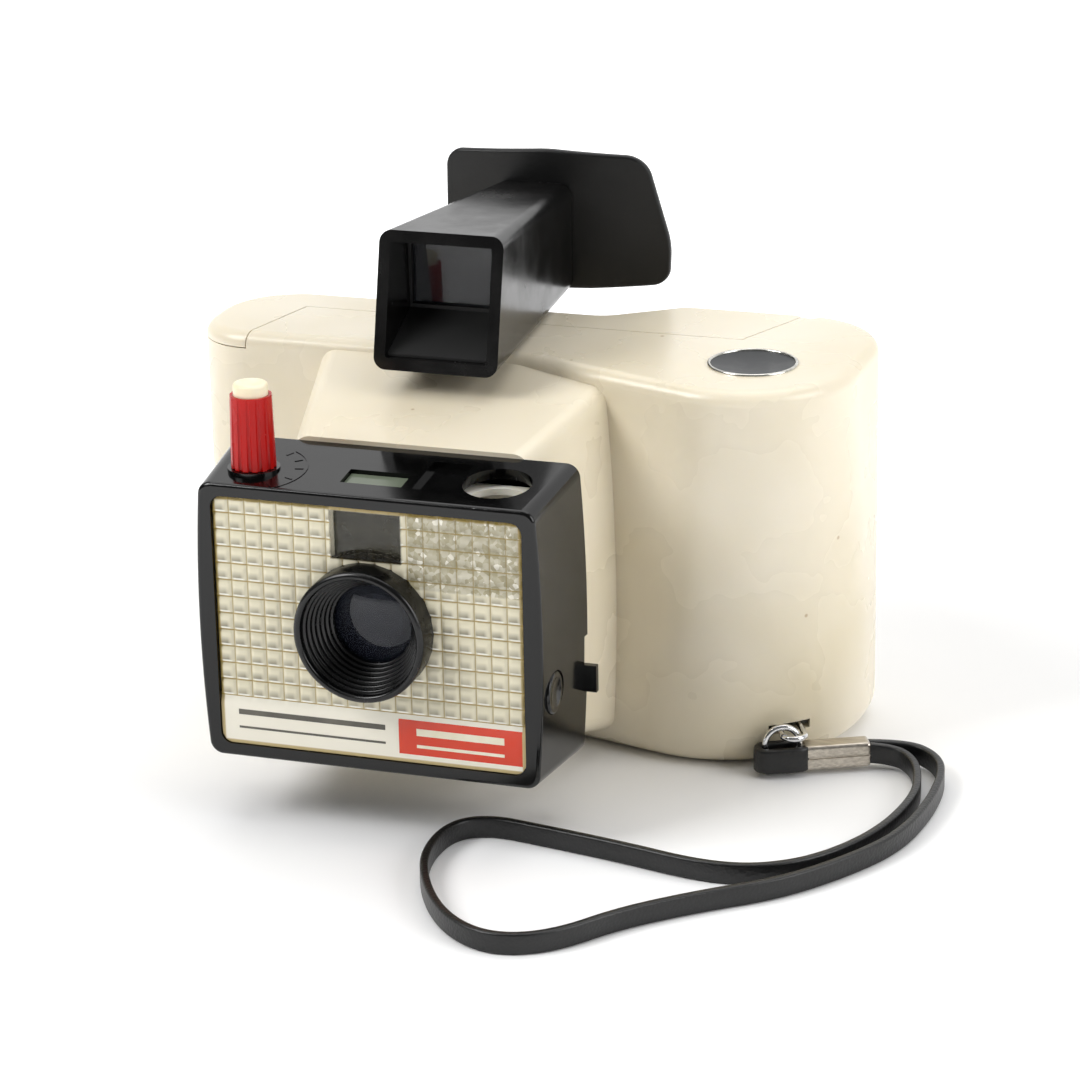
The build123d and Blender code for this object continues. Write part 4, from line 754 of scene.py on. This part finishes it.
def printed_rule(name, x, z, tall, material):
    """A thin printed line, as a shallow block just proud of the panel that it shows through."""
    low = Vector((x[0], panel_low.y - 0.03 * MM, z - tall * MM / 2))
    high = Vector((x[1], panel_low.y + 0.02 * MM, z + tall * MM / 2))
    points = [(a, b, c) for a in (low.x, high.x) for b in (low.y, high.y) for c in (low.z, high.z)]
    faces = [(0, 1, 3, 2), (4, 6, 7, 5), (0, 4, 5, 1), (2, 3, 7, 6), (0, 2, 6, 4), (1, 5, 7, 3)]
    return make_piece(name, points, faces, material, "camera", smooth=False)


strip_middle = (badge_low.z + badge_high.z) / 2
upper, lower = strip_middle + 1.6 * MM, strip_middle - 1.9 * MM
strip_span = (strip_low.x + 4 * MM, badge_low.x - 3 * MM)
printed_rule("strip_rule_upper", strip_span, upper, 1.2, ink_grey)
printed_rule("strip_rule_lower", strip_span, lower, 0.5, ink_grey)
label_span = (badge_low.x + 4 * MM, badge_high.x - 4 * MM)
printed_rule("label_rule_upper", label_span, upper - 0.3 * MM, 1.6, cream_card)
printed_rule("label_rule_lower", label_span, lower, 0.7, cream_card)


# ---- Light meter
# A dark olive pane fills the meter's window, with a pierced steel mask and a small glass
# lamp behind it.
olive_pane = black_styrene("olive_tinted_acrylic", "#1D1C13", "#26251B", 0.14, 8, 0.1)
finish(olive_pane, "meter_window")
blued_steel = rolled_metal("blued_steel", "#2A2A2C", "#48484C", 0.35, 0.9)
finish(blued_steel, "meter_mask", "shutter_blade", "aperture_slide", "film_gate")
lamp_glass = clear_plastic("lamp_glass", "#E6ECEF", 0.35, 0.04)
finish(lamp_glass, "meter_lamp")


# ---- Flash
# A pale pressed reflector stands behind the face's upper right corner.
pale_styrene = aged_styrene("pale_reflector_styrene", "#F3F0E6", "#E2DCC6", 0.3, 12)
finish(pale_styrene, "flash_reflector")


# ---- Lens
# The barrel is gloss black styrene with turned steps down its mouth, and the lens is a
# single coated glass.
barrel_black = black_styrene("barrel_black_styrene", "#040404", "#080808", 0.2, 9, 0.04)
HOOD_PROFILE = [
    (15.9, 3.7), (15.9, 2.8), (14.4, 2.8), (14.5, 0.0), (14.5, -5.1), (14.36, -5.5),
    (14.0, -5.8), (13.5, -5.98), (13.2, -5.9), (12.9, -5.6), (12.8, -5.1),
]
MOUTH, THROAT, STEPS, STEP_LONG = 12.8, 8.7, 7, 1.15
for step in range(1, STEPS + 1):
    radius = MOUTH + (THROAT - MOUTH) * step / STEPS
    start = -5.3 + step * STEP_LONG
    HOOD_PROFILE += [(radius + 0.55, start - 0.12), (radius + 0.12, start), (radius, start + 0.14)]
HOOD_PROFILE += [(THROAT, 3.5), (10.5, 3.7)]


def turned(profile, count, place):
    """Points and faces of a closed profile of (radius, depth), turned round the lens axis."""
    rings = []
    for step in range(count):
        turn = 2 * pi * step / count
        rings.append([place(radius * cos(turn), depth, radius * sin(turn)) for radius, depth in profile])
    return swept(rings)


hood_points, hood_faces = turned(HOOD_PROFILE, 160, lambda x, y, z: bench(x, y, z + LENS_Z / MM))
hood = make_piece("lens_barrel", hood_points, hood_faces, barrel_black, "camera")
hood_angle = hood.modifiers.new("crisp_steps", "EDGE_SPLIT")
hood_angle.split_angle = radians(50)
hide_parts("lens_hood")


def polished_glass(name, hex_colour, alpha):
    """Ground and polished glass, with a faint cool bloom from its coating."""
    material, tree, shader = new_material(name)
    facing = add(tree, "ShaderNodeLayerWeight", {"Blend": 0.35})
    bloom = add(
        tree, "ShaderNodeMapRange", {"To Min": alpha, "To Max": min(alpha + 0.35, 1.0)},
        {"Value": (facing, "Facing")},
    )
    tree.links.new(bloom.outputs["Result"], shader.inputs["Alpha"])
    shader.inputs["Base Color"].default_value = linear(hex_colour)
    shader.inputs["Roughness"].default_value = 0.02
    shader.inputs["IOR"].default_value = 1.52
    return material


lens_glass = polished_glass("coated_lens_glass", "#2B2F3A", 0.55)
finish(lens_glass, "lens")
view_glass = polished_glass("finder_glass", "#2E3034", 0.5)
finish(view_glass, "front_lens", "eye_lens")


# ---- Knob and plunger
# The exposure knob is bright red styrene with moulded flutes, and the plunger in its top
# is ivory. The rod, spring and screws are plain steel.
red_styrene = aged_styrene("bright_red_styrene", "#B40602", "#A00502", 0.22, 9, 0.0, 1.33)
finish(red_styrene, "exposure_knob")
cap_ivory = aged_styrene("cap_ivory_styrene", "#F4EBD2", "#E4D4A8", 0.32, 5)
finish(cap_ivory, "release_button")
plain_steel = rolled_metal("plain_steel", "#8C8C8E", "#B4B4B6", 0.32, 0.7)
finish(
    plain_steel, "button_spring", "hinge_pin", "fixed_roller", "door_roller", "door_bracket",
    "pressure_plate", "plate_spring", "housing_screw_1", "housing_screw_2", "housing_screw_3",
    "finder_screw_1", "finder_screw_2",
)
sprung_brass = rolled_metal("sprung_brass", "#A88A45", "#CDAF66", 0.3, 0.7)
finish(sprung_brass, "contact_left", "contact_right")


# ---- Viewfinder
# A tapering tunnel in semi-gloss black styrene, scuffed grey along its sides. The floor
# and mask inside are dull, and the eye shield is soft black rubber.
tunnel_black = black_styrene("scuffed_black_styrene", "#080808", "#161514", 0.16, 18, 0.1)
finish(tunnel_black, "finder_tunnel")
finish(dull_black, "finder_floor", "finder_mask")


def soft_rubber(name):
    """Moulded black rubber: matt, with a fine bloom and a pebbled skin."""
    material, tree, shader = new_material(name)
    place = add(tree, "ShaderNodeTexCoord")
    bloom = add(
        tree, "ShaderNodeTexNoise", {"Scale": 1 / (14 * MM), "Detail": 4.0},
        {"Vector": (place, "Object")},
    )
    colour = blend_colours(tree, (bloom, "Fac"), "#060606", "#0E0E0E", 0.35, 0.8)
    skin = add(
        tree, "ShaderNodeTexNoise", {"Scale": 1 / (0.6 * MM), "Detail": 2.0},
        {"Vector": (place, "Object")},
    )
    bump = add(tree, "ShaderNodeBump", {"Strength": 0.3, "Distance": 0.08 * MM}, {"Height": (skin, "Fac")})
    tree.links.new(colour.outputs["Color"], shader.inputs["Base Color"])
    tree.links.new(bump.outputs["Normal"], shader.inputs["Normal"])
    shader.inputs["Roughness"].default_value = 0.42
    shader.inputs["IOR"].default_value = 1.4
    return material


finish(soft_rubber("soft_black_rubber"), "eye_shield")


# ---- Floor and lights
# A white paper sweep under three softboxes: one high on the left, one low on the right and a
# wide one overhead. The paper also glows with painted light that grows with distance from the
# body, so the floor far off is white while the shade near the body stays. The room is dim, with
# a white backdrop behind.
floor_mesh = bpy.data.meshes.new("studio_floor")
FLOOR_HALF = 6.0
corners = [(-1, -1), (1, -1), (1, 1), (-1, 1)]
floor_mesh.from_pydata([(FLOOR_HALF * x, FLOOR_HALF * y, 0) for x, y in corners], [], [(0, 1, 2, 3)])
floor = bpy.data.objects.new("studio_floor", floor_mesh)
bpy.context.scene.collection.objects.link(floor)
paper, paper_tree, paper_shader = new_material("white_paper")
paper_place = add(paper_tree, "ShaderNodeTexCoord")
# Painted light: the paper's glow rises from none at 0.13 m from the middle to 0.5 at 0.4 m.
paper_far = add(paper_tree, "ShaderNodeVectorMath", {"operation": "LENGTH"}, {0: (paper_place, "Object")})
painted_floor_glow = add(
    paper_tree, "ShaderNodeMapRange", {"From Min": 0.13, "From Max": 0.4, "To Min": 0.0, "To Max": 0.5},
    {"Value": (paper_far, "Value")},
)
paper_tree.links.new(painted_floor_glow.outputs["Result"], paper_shader.inputs["Emission Strength"])
paper_shader.inputs["Emission Color"].default_value = linear("#FFFFFF")
paper_shader.inputs["Base Color"].default_value = linear("#F7F7F7")
paper_shader.inputs["Roughness"].default_value = 0.9
floor_mesh.materials.append(paper)

world = bpy.data.worlds.new("dim_room")
bpy.context.scene.world = world
world.use_nodes = True
room = world.node_tree
sky = room.nodes["Background"]
sky.inputs["Color"].default_value = linear("#FFFFFF")
room_place = add(room, "ShaderNodeTexCoord")
room_axes = add(room, "ShaderNodeSeparateXYZ", links={"Vector": (room_place, "Generated")})
backdrop = add(
    room, "ShaderNodeMapRange", {"From Min": 0.1, "From Max": 0.75, "To Min": 0.13, "To Max": 1.05},
    {"Value": (room_axes, "Y")},
)
room.links.new(backdrop.outputs["Result"], sky.inputs["Strength"])


def softbox(name, azimuth, elevation, distance, size, power):
    """A square softbox aimed at the camera; azimuth is from the front, positive to the right."""
    light = bpy.data.lights.new(name, "AREA")
    light.size = size
    light.energy = power
    lamp = bpy.data.objects.new(name, light)
    bpy.context.scene.collection.objects.link(lamp)
    flat = cos(radians(elevation))
    away = Vector((sin(radians(azimuth)) * flat, -cos(radians(azimuth)) * flat, sin(radians(elevation))))
    lamp.location = bench(10, 50, 55) + away * distance
    lamp.rotation_mode = "QUATERNION"
    lamp.rotation_quaternion = away.to_track_quat("Z", "Y")
    return lamp


softbox("left_softbox", -52, 42, 1.3, 0.6, 11)
softbox("right_softbox", 82, 24, 1.3, 0.8, 8.5)
softbox("top_softbox", 180, 80, 1.5, 1.5, 12)
bpy.context.scene.view_settings.view_transform = "Standard"
